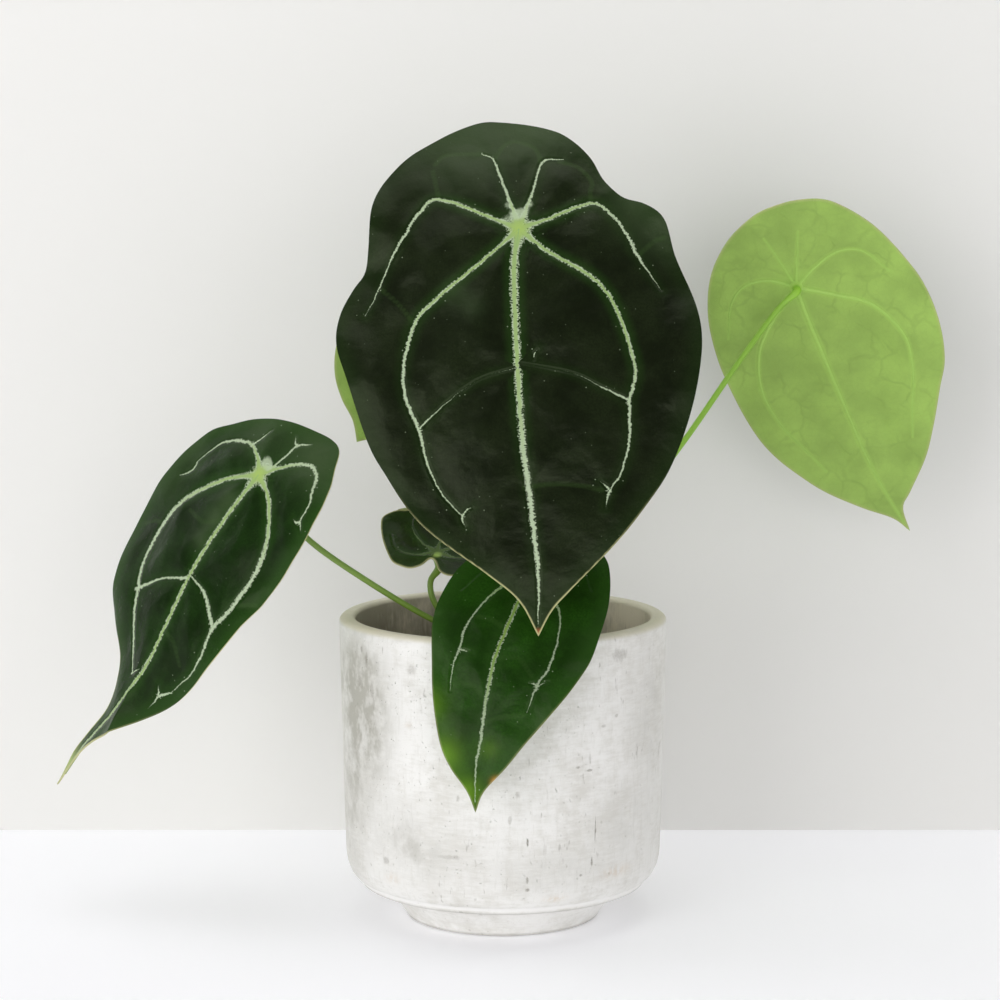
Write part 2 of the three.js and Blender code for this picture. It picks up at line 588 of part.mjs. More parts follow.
function stalkRadius(length) {
  return (t) => {
    const fromBase = t * length;
    const fromTop = (1 - t) * length;
    return STALK_RADIUS + (STALK_BASE_RADIUS - STALK_RADIUS) * (1 - smoothstep(fromBase / 40))
      + (STALK_NECK_RADIUS - STALK_RADIUS) * (1 - smoothstep((fromTop - 5) / 6));
  };
}

function makeStalk(blade) {
  const curve = curveThrough(stalkCurve(blade));
  const length = curve.getLength();
  const radius = stalkRadius(length);
  return solid(tube(curve, radius, Math.max(10, Math.round(length / 5)), STALK_SIDES));
}

function socket(blade) {
  const [[x, y, bottom]] = socketLine(blade);
  const line = curveThrough([[x, y, bottom - GAP], [x, y, CROWN_TOP + 12]]);
  return solid(tube(line, () => STALK_BASE_RADIUS + GAP * 1.6, 1, 8));
}

// Assembly
const group = new THREE.Group();
group.name = "potted_velvet_leaf_aroid";
group.add(meshOf(makePot(), "pot", CEMENT, 0.8));
group.add(meshOf(makeMix().subtract(crownHole()), "potting_mix", MIX_BROWN, 0.95));

let crown = makeCrown();
for (const blade of Object.values(BLADES)) crown = crown.subtract(socket(blade));
group.add(meshOf(crown, "crown", CROWN_BROWN, 0.8));

for (const [name, blade] of Object.entries(BLADES)) {
  group.add(meshOf(makeStalk(blade), `stalk_${name}`, STALK_GREEN, 0.5));
  group.add(meshOf(makeBlade(blade), `blade_${name}`, BLADE_COLOURS[name], 0.55));
}

export default group;
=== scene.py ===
import bisect
import math
import random

import bmesh
import bpy
from bpy.props import FloatProperty, FloatVectorProperty, IntProperty, PointerProperty
from mathutils import Matrix, Vector, noise
from mathutils.kdtree import KDTree


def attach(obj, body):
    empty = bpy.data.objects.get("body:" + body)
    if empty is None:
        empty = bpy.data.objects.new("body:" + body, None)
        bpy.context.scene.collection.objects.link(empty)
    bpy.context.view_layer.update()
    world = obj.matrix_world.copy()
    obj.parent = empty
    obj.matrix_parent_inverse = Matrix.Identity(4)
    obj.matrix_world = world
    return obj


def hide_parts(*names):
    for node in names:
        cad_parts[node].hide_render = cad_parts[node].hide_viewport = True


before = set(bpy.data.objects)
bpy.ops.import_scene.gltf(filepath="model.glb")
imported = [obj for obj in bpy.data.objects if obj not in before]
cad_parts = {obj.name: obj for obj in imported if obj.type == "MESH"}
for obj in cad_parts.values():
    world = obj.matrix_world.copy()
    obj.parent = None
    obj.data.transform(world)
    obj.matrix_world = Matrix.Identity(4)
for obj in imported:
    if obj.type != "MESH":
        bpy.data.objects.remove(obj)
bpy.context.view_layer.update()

bl_info = {
    "name": "Potted velvet-leaf plant",
    "version": (1, 0, 0),
    "blender": (4, 5, 0),
    "location": "View3D > Sidebar > Plant",
    "description": "Builds a leafy plant with silver veins in a whitewashed cement pot",
    "category": "Object",
}

MM = 0.001  # the tables below are in millimetres, and Blender works in metres

# Each blade lies on its own curved surface. A point on it is (across, along) in millimetres from
# where the stalk joins, "along" growing towards the tip and "across" towards the right of someone
# who looks at the upper face with the tip down. The outline runs from the tip up the right side,
# over the top and down the left side. tip_bend and back_bend are (degrees of droop, over so many
# millimetres), cup is degrees of droop in 50 mm across, fold and twist are (degrees, start,
# length) along the blade, and a swell is (across, along, radius, height). A vein is (half-widths
# of its silver line at even steps, share of its length with a green core, points). Strokes are
# silver marks with no rib and faint lines are veinlets. A pale, rust or frost patch is (across,
# along, radius, strength). The stalk's points are in the object's own millimetres. fan is below 1
# where a heart-shaped blade needs more of its grid at the top, and rows and columns size that grid.
PLAIN_BLADE = dict(fold=(0, 0, 1), twist=(0, 0, 1), swells=[], strokes=[], faint=[], pale=[],
                   rust=[], frost=[], fan=1.0)
BLADES = {
    "main": dict(
        PLAIN_BLADE,
        junction=(6.4, -42, 294.6), heading=(0.045, -0.423, -0.906), face=(0, -0.906, 0.423),
        tip_bend=(14, 170), back_bend=(16, 45), cup=12,
        swells=[(-70, -10, 16, 5), (-66, 12, 14, -4), (64, -8, 15, 5), (70, 20, 14, -4),
                (-72, 62, 22, 3), (68, 66, 22, 3)],
        outline=[(0, 167), (6, 157), (14, 149), (33, 131), (46, 116), (56, 102), (65, 82),
                 (71, 61), (73, 43), (70, 26), (64, 11), (60, -3), (52, -10), (43, -14),
                 (36, -22), (31, -33), (23, -42), (13, -48), (-4, -52), (-16, -52), (-36, -43),
                 (-46, -36), (-55, -26), (-60, -14), (-62, 2), (-64, 12), (-69, 19), (-75, 30),
                 (-77, 43), (-73, 59), (-65, 86), (-58, 100), (-49, 115), (-39, 126),
                 (-19, 142), (-7, 153)],
        top=(-4, -52),
        midrib=[(0, -40), (0, 0), (-3, 22), (-3, 83), (-1, 111), (1, 142)],
        veins=[
            ((1.7, 1.7, 1.6, 1.5, 1.5, 1.4, 1.4, 0.9, 0.2), 0.5,
             [(0, 0), (-3, 22), (-3, 83), (-1, 111), (1, 142), (0, 163)]),
            ((0.9, 0.85, 0.85, 0.9, 0.9, 0.85, 0.8, 0.45, 0.35), 0.4,
             [(0, 0), (-14, 12), (-36, 29), (-44, 38), (-49, 55), (-49, 68), (-44, 82),
              (-41, 96), (-36, 108), (-28, 118)]),
            ((0.6, 0.4, 0.25, 0.15, 0.1, 0.15, 0.25), 0.0,
             [(-44, 82), (-35, 74), (-24, 66), (-16, 62), (-3, 59)]),
            ((1.0, 1.0, 1.0, 0.95, 0.85, 0.8, 0.85, 0.6, 0.45), 0.6,
             [(0, 0), (11, 10), (30, 23), (38, 36), (43, 54), (44, 63), (41, 74), (40, 90),
              (36, 103), (31, 110)]),
            ((0.8, 0.5, 0.25, 0.15, 0.1, 0.05, 0.0), 0.0,
             [(41, 74), (28, 67), (18, 62), (-3, 57)]),
            ((1.0, 0.95, 0.9, 0.85, 0.8, 0.8, 0.45, 0.45, 0.2), 0.4,
             [(0, 0), (-12, -6), (-32, -16), (-40, -11), (-46, -2), (-53, 9), (-60, 24),
              (-64, 31)]),
            ((1.0, 0.95, 0.9, 0.9, 0.8, 0.7, 1.0, 0.5, 0.2), 0.45,
             [(0, 0), (12, -4), (30, -11), (38, -6), (44, 3), (48, 12), (53, 20), (57, 26)]),
            ((1.2, 1.1, 0.8, 0.7, 0.6, 0.4), 0.3,
             [(0, 0), (-3, -12), (-7, -26), (-9, -33), (-13, -36)]),
            ((1.1, 0.9, 0.7, 0.6, 0.7, 0.3), 0.3,
             [(0, 0), (5, -13), (8, -22), (10, -29), (13, -32), (19, -32)])],
        strokes=[((0.4, 0.3, 0.1), [(-28, 118), (-26, 116), (-24, 115)]),
                 ((0.4, 0.3, 0.1), [(-28, 118), (-28, 120), (-27, 122)]),
                 ((0.6, 0.3, 0.1), [(31, 110), (30, 109), (28, 107)]),
                 ((0.6, 0.35, 0.1), [(31, 110), (30, 113), (29, 117)]),
                 # The last stroke is a painted glint: a small white highlight drawn as a silver mark.
                 ((0.05, 0.3, 0.05), [(5, 52), (3.5, 54), (3.5, 56)])],
        faint=[[(-32, -16), (-33, -23), (-34, -30)], [(-13, -36), (-20, -37), (-29, -37), (-33, -33)],
               [(10, -31), (10, -34), (7, -39), (0, -42)],
               [(30, -11), (30, -17), (31, -21), (26, -28), (18, -31)],
               [(-8, -34), (-4, -40), (0, -42)], [(-3, 108), (9, 107), (19, 108), (28, 110)],
               [(-44, 38), (-50, 29), (-57, 21)], [(48, 12), (55, 6), (60, 4)]],
        # These pale patches are painted sheen: grey-green light caught at the top, where the blade
        # bends back, and soft streaks of it on the sides.
        pale=[(-20, -44, 22, 0.5), (10, -48, 18, 0.5), (50, -10, 14, 0.4), (58, 4, 10, 0.25),
              (-27, 26, 6, 0.35), (-20, 33, 5, 0.25)],
        frost=[(-1.5, -6, 2.8, 0.8), (2, -7, 2.8, 0.8), (-4, -11, 2.2, 0.6), (5, -11, 2.2, 0.6),
               (-6, -4, 2.4, 0.5)],
        azimuth=320,
        stalk=[(9, -6, 130), (14, -7, 155), (15, -6, 195), (11, -9, 245), (7, -24, 284)],
        rows=150, columns=104,
    ),
    "left": dict(
        PLAIN_BLADE,
        junction=(-101.5, -25, 192.6), heading=(-0.572, -0.082, -0.816),
        face=(-0.538, -0.715, 0.448),
        tip_bend=(15, 150), back_bend=(18, 35), cup=16, fold=(30, 75, 50), twist=(-14, 80, 70),
        swells=[(-60, 25, 16, 3), (38, 0, 14, 3), (42, 40, 16, -3)],
        outline=[(-29, 168), (-20, 149), (-12, 138), (1, 126), (14, 112), (22, 100), (29, 86),
                 (33, 70), (36, 48), (39, 32), (41, 16), (40, -2), (36, -12), (31, -20),
                 (26, -28), (19, -30), (7, -28), (-6, -25), (-20, -19), (-32, -11), (-43, -2),
                 (-50, 11), (-52, 26), (-54, 41), (-53, 56), (-49, 69), (-43, 79), (-35, 87),
                 (-25, 95), (-17, 103), (-13, 113), (-14, 124), (-20, 137), (-25, 149)],
        top=(7, -28),
        midrib=[(5, -20), (0, 0), (-2, 24), (-2, 49), (1, 76), (2, 91), (0, 104), (-6, 121),
                (-17, 141)],
        veins=[
            ((1.3, 1.3, 1.2, 1.1, 1.0, 0.9, 0.9, 0.8, 0.5), 0.85,
             [(0, 0), (-2, 24), (-2, 49), (1, 76), (2, 91), (0, 104), (-6, 121), (-17, 141),
              (-26, 161)]),
            ((1.2, 1.2, 1.3, 1.4, 1.4, 1.3, 1.1, 0.9, 0.5), 0.3,
             [(0, 0), (-16, 11), (-31, 28), (-35, 42), (-33, 61), (-26, 72), (-20, 81),
              (-9, 95), (-4, 100)]),
            ((1.2, 0.8, 0.6, 0.7, 1.0), 0.0, [(-27, 71), (-21, 65), (-14, 59), (-2, 53)]),
            ((1.1, 1.1, 1.2, 1.3, 1.2, 1.2, 0.9, 0.5, 0.3), 0.3,
             [(0, 0), (13, 6), (24, 20), (27, 34), (26, 53), (24, 63), (26, 76), (25, 84),
              (19, 95)]),
            ((1.2, 1.1, 0.7, 0.4), 0.0, [(24, 63), (18, 58), (10, 53), (-2, 51)]),
            ((1.2, 1.0, 1.0, 0.9, 0.7, 0.5, 0.3), 0.3,
             [(0, 0), (-6, -5), (-14, -8), (-20, -7), (-27, -4), (-33, 1), (-39, 12)]),
            ((1.1, 1.0, 1.0, 1.0, 1.1, 0.8, 0.5, 0.5), 0.3,
             [(0, 0), (8, -8), (14, -13), (20, -16), (26, -14), (29, -9), (33, -3), (34, 5)]),
            ((1.6, 1.2, 0.6, 0.6, 0.7, 0.3), 0.3,
             [(0, 0), (1, -4), (4, -6), (6, -13), (7, -19), (12, -23)])],
        strokes=[((0.4, 0.5, 0.4, 0.2), [(-39, 12), (-38, 15), (-39, 18), (-42, 21)]),
                 ((0.5, 0.35, 0.1), [(-14, -8), (-11, -13), (-9, -18)]),
                 ((0.5, 0.3, 0.1), [(7, -19), (5, -20), (3, -22)]),
                 ((0.5, 0.4, 0.1), [(34, 5), (33, 6), (31, 6)]),
                 ((0.5, 0.3, 0.1), [(34, 5), (35, 6), (37, 8)]),
                 ((0.4, 0.3, 0.1), [(-4, 100), (-2, 98), (0, 96)]),
                 ((0.3, 0.6, 0.3, 0.1), [(18, 97), (14, 101), (13, 105), (12, 108)]),
                 ((0.5, 0.3, 0.1), [(14, 101), (13, 99), (12, 97)])],
        faint=[[(-35, 42), (-42, 44), (-48, 48)], [(26, 50), (32, 46), (35, 44)],
               [(-2, 24), (-12, 30), (-24, 30)], [(1, 76), (10, 78), (18, 84)]],
        # These pale patches are painted sheen: soft grey-green highlights on the lobes and beside the
        # midrib.
        pale=[(12, -22, 14, 0.5), (25, -20, 13, 0.6), (-14, -14, 12, 0.5), (-6, 16, 6, 0.7),
              (-7, 26, 5, 0.7), (-7, 36, 5, 0.6), (-44, 10, 9, 0.35), (-44, 28, 8, 0.35)],
        frost=[(-1, -6, 2.8, 0.9), (2, -5, 2.4, 0.9)], azimuth=200,
        stalk=[(-14, -5, 122.5), (-29.7, -9, 128.7), (-56.1, -13, 145.2), (-81.4, -18, 164.2),
               (-94, -18, 181)],
        rows=140, columns=72,
    ),
    "right": dict(
        PLAIN_BLADE,
        junction=(130.4, 62, 266.8), heading=(0.422, 0.241, -0.874), face=(0.089, 0.948, 0.305),
        tip_bend=(18, 120), back_bend=(18, 40), cup=12,
        swells=[(-52, 20, 16, 3), (44, 40, 18, 3)],
        outline=[(-5, 124), (0, 116), (11, 107), (22, 96), (31, 84), (39, 70), (44, 54),
                 (46, 34), (45, 15), (41, -4), (33, -20), (22, -31), (10, -38), (-3, -41),
                 (-18, -39), (-31, -32), (-42, -16), (-49, 2), (-53, 20), (-53, 38), (-49, 55),
                 (-42, 67), (-33, 82), (-24, 95), (-12, 107), (-6, 113)],
        top=(-3, -41),
        midrib=[(-1, -30), (0, 0), (1, 20), (1, 80), (-1, 102)],
        veins=[
            ((1.4, 1.3, 1.2, 1.1, 0.9, 0.6, 0.2), 0.9,
             [(0, 0), (1, 20), (1, 80), (-1, 102), (-4, 120)]),
            ((1.0, 0.9, 0.8, 0.7, 0.5, 0.2), 0.6,
             [(0, 0), (-15, 10), (-28, 20), (-36, 38), (-34, 54), (-28, 69), (-22, 84)]),
            ((1.0, 0.9, 0.8, 0.7, 0.5, 0.2), 0.6,
             [(0, 0), (15, 10), (27, 22), (33, 40), (31, 57), (26, 70), (20, 85)]),
            ((1.0, 0.8, 0.6, 0.4, 0.2), 0.5,
             [(0, 0), (-12, -6), (-24, -9), (-34, -5), (-41, 8)]),
            ((1.0, 0.8, 0.6, 0.4, 0.2), 0.5,
             [(0, 0), (10, -8), (21, -10), (30, -4), (37, 10)]),
            ((0.9, 0.5, 0.2), 0.5, [(0, 0), (-7, -16), (-11, -25)]),
            ((0.9, 0.5, 0.2), 0.5, [(0, 0), (2, -15), (4, -28)])],
        azimuth=20,
        stalk=[(10, 3.8, 123), (25, 10, 137), (52, 23, 167), (79.2, 37, 200.1), (103, 47, 233),
               (121, 53, 256.5)],
        rows=120, columns=74,
    ),
    "front": dict(
        PLAIN_BLADE,
        junction=(12.5, -56, 157.5), heading=(-0.22, -0.659, -0.719), face=(0.001, -0.737, 0.676),
        tip_bend=(48, 110), back_bend=(25, 25), cup=14,
        swells=[(-36, 30, 14, 2), (30, 30, 14, -2)],
        outline=[(-3, 104), (-1, 95), (6, 84), (12, 73), (19, 61), (25, 50), (30, 37), (32, 25),
                 (33, 10), (31, -4), (27, -14), (19, -20), (8, -21), (-3, -19), (-14, -13),
                 (-23, -5), (-30, 5), (-34, 17), (-35, 31), (-32, 47), (-28, 63), (-22, 79),
                 (-16, 88), (-8, 96)],
        top=(3, -20),
        midrib=[(2, -14), (0, 0), (-4, 20), (-7, 42), (-7, 80), (-5, 97)],
        veins=[
            ((1.0, 1.0, 1.0, 0.95, 0.9, 0.8, 0.6, 0.3), 0.55,
             [(0, 0), (-3, 17), (-5, 29), (-7, 42), (-7, 59), (-6, 75), (-6, 85), (-4, 99)]),
            ((0.7, 0.7, 0.6, 0.5, 0.65, 0.45, 0.2), 0.3,
             [(0, 0), (-11, 11), (-17, 20), (-21, 30), (-22, 40), (-23, 49), (-22, 58)]),
            ((0.7, 0.6, 0.55, 0.5, 0.6, 0.7, 0.2), 0.3,
             [(0, 0), (6, 6), (14, 17), (16, 28), (15, 41), (12, 49), (10, 60)]),
            ((0.5, 0.2, 0.1, 0.0), 0.3, [(0, 0), (-8, -2), (-18, 2), (-27, 15)]),
            ((0.5, 0.2, 0.1, 0.0), 0.3, [(0, 0), (8, -7), (18, -8), (25, 4)]),
            ((0.7, 0.1), 0.3, [(0, 0), (2, -12)])],
        strokes=[((0.5, 0.35, 0.1), [(-22, 41), (-20, 41), (-18, 41)]),
                 ((0.6, 0.4, 0.1), [(12, 50), (11, 49), (9, 49)]),
                 ((0.4, 0.2, 0.05), [(12, 50), (14, 48), (16, 47)])],
        faint=[[(-5, 29), (-12, 26), (-19, 26)], [(-7, 42), (2, 40), (9, 46)],
               [(-7, 59), (-14, 54), (-21, 55)], [(-6, 68), (2, 64), (9, 62)]],
        pale=[(-31, 66, 7, 0.5), (-20, 84, 7, 0.6), (-8, 97, 6, 0.6), (-2, 78, 4, 0.2)],
        rust=[(3, 90, 1.8, 0.9)], azimuth=260,
        stalk=[(1, -9, 125), (4, -18, 138), (8, -32, 150), (11.5, -46, 151.5)],
        rows=104, columns=60,
    ),
    "small": dict(
        PLAIN_BLADE,
        junction=(-28, -5, 156), heading=(0.28, 0.75, 0.42), face=(-0.1, -0.48, 0.85),
        tip_bend=(-5, 45), back_bend=(10, 20), cup=16,
        outline=[(2, 52), (9, 43), (17, 35), (24, 30), (30, 29), (34, 25), (33, 19), (29, 10),
                 (23, 0), (18, -7), (13, -10), (8, -11), (4, -8), (2, -3), (-1, -5), (-5, -11),
                 (-10, -13), (-17, -10), (-23, -3), (-28, 8), (-31, 19), (-29, 27), (-22, 33),
                 (-13, 38), (-5, 44)],
        top=(2, -3),
        midrib=[(2, 8), (2, 25), (2, 42)],
        veins=[
            ((0.7, 0.5, 0.3, 0.1), 0.8, [(1, 2), (2, 12), (2, 45)]),
            ((0.6, 0.4, 0.2, 0.0), 0.6, [(1, 2), (11, 9), (19, 20), (20, 29)]),
            ((0.6, 0.4, 0.2, 0.0), 0.6, [(1, 2), (-9, 10), (-16, 20), (-17, 28)]),
            ((0.5, 0.3, 0.1, 0.0), 0.6, [(1, 2), (10, -1), (20, 3), (26, 13)]),
            ((0.5, 0.3, 0.1, 0.0), 0.6, [(1, 2), (-8, 0), (-17, 3), (-23, 12)])],
        fan=0.55, azimuth=140,
        stalk=[(-12, 4.2, 123), (-23.5, 1, 127), (-29.8, 0, 136), (-30.9, 0.4, 144)],
        rows=80, columns=60,
    ),
    "rear": dict(
        PLAIN_BLADE,
        junction=(-42.1, 58, 253.2), heading=(-0.306, 0.255, -0.917), face=(-0.189, 0.928, 0.321),
        tip_bend=(22, 60), back_bend=(25, 20), cup=14,
        outline=[(8, 60), (12, 51), (19, 43), (25, 33), (28, 21), (27, 8), (22, -4), (13, -12),
                 (2, -14), (-9, -11), (-18, -3), (-23, 8), (-24, 21), (-21, 34), (-14, 45),
                 (-4, 54)],
        top=(2, -14),
        midrib=[(1, -9), (0, 0), (1, 25), (4, 45)],
        veins=[
            ((0.9, 0.8, 0.6, 0.2), 0.8, [(0, 0), (1, 25), (4, 45), (7, 57)]),
            ((0.7, 0.5, 0.4, 0.1), 0.6, [(0, 0), (9, 5), (16, 15), (17, 28), (13, 41)]),
            ((0.7, 0.5, 0.4, 0.1), 0.6, [(0, 0), (-7, 6), (-13, 16), (-13, 29), (-8, 41)]),
            ((0.6, 0.2), 0.6, [(0, 0), (2, -9)])],
        azimuth=80,
        stalk=[(3, 9, 128), (7, 20, 147), (9, 37, 185), (-6, 50, 222), (-32, 53, 245)],
        rows=80, columns=60,
    ),
}
YOUNG = ("right", "rear")  # leaves that are still thin and light green

# How the upper faces differ: the two tones, how light the edge zone is, the gloss, how strong the
# silver and its green core are, the size of the joint's spot, the colour of the pale patches, the
# colour of the blade's end with the distances where it starts and is full, and how strong the margin
# is. Each kind's own green has the same name in the settings.
PLAIN_FACE = dict(slot="leaf_dark", tones=(0.65, 1.4), fresh=0.12, gloss=0.15, silver=0.95,
                  core=0.7, spot=5.5, patch="sheen", end=("tip", 4.0, 1.5), margin=0.9)
FACES = {
    "main": PLAIN_FACE,
    "left": dict(PLAIN_FACE, fresh=0.5, gloss=0.12, end=("tail", 30.0, 12.0)),
    "front": dict(PLAIN_FACE, slot="leaf_green", fresh=0.45, silver=0.7, core=1.0, patch="glow",
                  end=None, margin=0.3),
    "small": dict(PLAIN_FACE, fresh=0.2, silver=0.2, spot=3.0),
    "young": dict(PLAIN_FACE, slot="leaf_pale", tones=(0.85, 1.15), fresh=0.0, silver=0.3),
}

# More sizes in millimetres.
CUP_WIDTH = 50  # the width over which a blade droops by its cup
VEIN_STEP = 0.4  # between the points that stand for a vein
VEIN_OFFSET = 300  # keeps one vein's ragged edge from repeating on the next
STROKE_GROWTH = 1.5  # how much wider the strokes are drawn than their table says
FINE_REACH = 3.0  # the blades' grid is finer within this distance of a vein
FINE_CUTS = 2
FAR = 99.0  # stands for the distance to a faint line where a blade has none
RIPPLE_HEIGHT, RIPPLE_LENGTH, RIPPLE_START = 0.8, 14, 5  # gentle waves, away from the veins
RIB_RADIUS = 1.0
RIB_DEPTH = 0.15  # how far a rib's middle lies below the underside
RIB_FLATNESS = {"young": 0.5, "grown": 0.85}
BOSS_LENGTH = 3  # the collar under a blade, where the stalk joins
CROWN_TOP = 115
SOCKET_DEPTH = 7
SOCKET_RING = 4.8  # the stalks stand in a ring on the crown
STALK_RADII = (1.9, 1.3, 1.75)  # at the foot, along the stalk and at the swollen neck
FOOT_LENGTH, NECK_START, NECK_LENGTH = 40, 5, 6  # where a stalk is thicker, from its two ends

# The bed's underside and the crown's outline as (radius, height), and the thick roots' points.
BED_BOTTOM = [(0, 12.5), (39.5, 12.5), (60, 31)]
CROWN_OUTLINE = [(0, 90), (6.5, 90), (8.1, 94), (8.5, 100), (8.3, 103), (8.6, 105), (8.4, 107.5),
                 (8.1, 108), (8.5, 109), (8.3, 112), (7.8, 114.2), (6, 115.2), (3, 115), (0, 114.9)]
ROOTS = [[(4, 5, 108), (11, 12, 110.8), (17, 18, 107.5), (19, 20, 97)],
         [(-5, 4, 108), (-13, 9, 111), (-20, 13, 107.8), (-22, 15, 97)],
         [(3, -5, 107.5), (10, -12, 110.5), (17, -17, 107), (19, -19, 97)]]
SCALE_AZIMUTHS = (110, 230, 350)  # where the papery scales stand round the crown, in degrees
MIX_SEED = 11
CROWN_CLEAR = 0.03  # share of the bed's area that the loose pieces leave to the crown

# Marks on the pot's front, each (x, height, half-width, half-height, strength) in millimetres.
POT_MARKS = [(-57.5, 121.5, 0.9, 1.6, 0.5), (-55.5, 117, 1.0, 3.6, 0.5), (-53.8, 112, 0.8, 2, 0.3),
             (-48.6, 122.6, 0.5, 2.2, 0.6), (-53.3, 105.4, 1.5, 3.5, 0.35),
             (-58.3, 107.2, 2.2, 2.5, 0.35), (-54, 79, 0.4, 6, 0.45), (-54, 62.5, 0.5, 3.5, 0.7),
             (-50.9, 61.5, 0.4, 2.3, 0.6), (-48.2, 61.1, 0.35, 1, 0.5), (-43.6, 57.8, 0.4, 1, 0.4),
             (-36.8, 116.5, 2.5, 2, 0.25), (46.8, 121.3, 4.5, 2.8, 0.35), (59, 122.9, 0.4, 2, 0.5),
             (38.6, 117.8, 0.4, 1.4, 0.45), (30.5, 76.6, 1.4, 0.6, 0.6), (35, 74.9, 2, 0.5, 0.6),
             (39, 76, 0.9, 0.5, 0.6), (46.1, 96.1, 0.9, 0.8, 0.45), (40.8, 92.5, 1.4, 0.7, 0.35),
             (10, 46.8, 0.5, 2.2, 0.9), (15.2, 58.1, 0.7, 1.3, 0.7), (10.9, 59.3, 0.4, 1.6, 0.4),
             (26.8, 68.7, 0.35, 3, 0.35), (26.5, 45.7, 0.4, 5, 0.35), (26.6, 35.6, 0.6, 1.3, 0.8),
             (38, 50, 0.3, 7, 0.7), (37.8, 42, 0.3, 4, 0.6), (36.8, 36.5, 0.45, 2.5, 0.8),
             (10, 31.1, 0.6, 1.5, 0.6), (10, 26.9, 0.9, 0.8, 0.7), (32.1, 31.2, 0.9, 0.6, 0.7),
             (38.7, 66.6, 0.35, 1.2, 0.6), (-48.9, 34.2, 1.6, 1.6, 0.35),
             (-21.6, 39.8, 6, 0.9, 0.25), (5.8, 66.8, 0.9, 1.6, 0.3), (2.8, 56.4, 0.8, 2.2, 0.3),
             (-21.8, 58.7, 0.5, 1.3, 0.35), (18, 93.3, 0.4, 2.5, 0.3)]
TAN_MARKS = [(21.2, 21.9, 4, 1.2, 0.6), (46.9, 29.9, 5, 2.2, 0.6), (-39, 93.3, 1.2, 1.2, 0.35),
             (-46, 27, 3, 2, 0.4)]
CLOUD_MARKS = [(-60, 108, 11, 20, 0.7), (-55, 84, 9, 22, 0.5), (-64, 56, 7, 36, 0.45),
               (60, 96, 9, 34, 0.25), (50, 50, 14, 14, 0.2), (20, 34, 26, 9, 0.25),
               (-36, 42, 16, 16, 0.4)]
BACK_MARKS = 46  # small marks on the pot's other side, which the photo doesn't show
BACK_SEED = 4
NO_MARK = 9.0  # stands for the distance to a mark where there is none near
MARK_REACH = 2.5  # the pot's grid is finer within so many half-sizes of a mark
MARK_CUTS = 3
POT_STEPS, BED_STEPS, CROWN_STEPS = 192, 120, 48  # round the axis of each turned shape
DENT_SIZE, DENT_DEPTH = 0.02, 0.00012  # slow unevenness of the cast pot, in metres

# The lamps in metres: name, place, size and share of the window's power.
LAMPS = (("window", (-1.4, -1.9, 0.7), 1.6, 1.0), ("bounce", (0.3, -2.4, 0.2), 1.5, 0.6),
         ("ceiling", (-0.2, -0.1, 2.2), 2.4, 1.2))
LAMP_AIM = (0, 0, 0.15)
TABLE_HALF, WALL_HALF = 12, 3


def linear(red, green, blue):
    """A colour of 0 to 255 as a picture has it, in Blender's linear values."""
    return tuple(((c / 255 + 0.055) / 1.055) ** 2.4 if c > 10 else c / 255 / 12.92
                 for c in (red, green, blue))


def shade(colour, factor):
    """A darker or lighter tone of a colour."""
    return [min(1.0, c * factor) for c in colour]


def size_setting(name, description, default):
    return FloatProperty(name=name, description=description, default=default, min=0.0,
                         precision=4, subtype="DISTANCE", unit="LENGTH")


def share_setting(name, description, default):
    return FloatProperty(name=name, description=description, default=default, min=0.0, max=1.0,
                         subtype="FACTOR")


def colour_setting(name, description, *colour):
    return FloatVectorProperty(name=name, description=description, default=linear(*colour),
                               min=0.0, max=1.0, size=3, subtype="COLOR")


class PotSettings(bpy.types.PropertyGroup):
    """Sizes and colours of the pot."""

    rim_radius: size_setting("Rim radius", "Radius of the pot across the rim", 0.070)
    height: size_setting("Height", "Height of the pot", 0.130)
    taper: share_setting("Taper", "Radius lost for each unit of height below the rim", 0.023)
    wall: size_setting("Wall", "Thickness of the pot's wall", 0.007)
    rim_round: size_setting("Rim round", "Radius of the rim's outer edge", 0.0028)
    edge_radius: size_setting("Lower edge radius", "Radius of the bright edge above the foot", 0.0615)
    edge_height: size_setting("Lower edge height", "Height of the bright edge above the foot", 0.0165)
    corner: size_setting("Lower corner", "Height of the rounded corner above that edge", 0.014)
    foot_radius: size_setting("Foot radius", "Radius of the foot on the ground", 0.042)
    foot_top: size_setting("Foot top", "Radius at the foot's top", 0.050)
    foot_height: size_setting("Foot height", "Height of the set-in foot", 0.012)
    floor_radius: size_setting("Floor radius", "Radius of the pot's floor inside", 0.040)
    wash: colour_setting("Whitewash", "Colour of the thin white wash", 239, 238, 235)
    cement: colour_setting("Cement", "Colour where the cement shows through", 218, 216, 210)
    cloud: colour_setting("Cloud", "Colour of the broad grey patches", 178, 176, 167)
    # This colour also paints the shade under the lower edge and at the foot's bottom.
    stain: colour_setting("Stain", "Colour of the small stains", 116, 109, 95)
    tan: colour_setting("Tan", "Colour of the tan patches", 212, 196, 176)
    inner: colour_setting("Inside", "Colour of the wall inside", 232, 222, 203)
    # This colour also paints the shade on the left of the inside.
    inner_dark: colour_setting("Inside blotch", "Colour of the damp blotches inside", 150, 144, 128)
    rim: colour_setting("Rim", "Colour of the worn rim", 216, 209, 184)


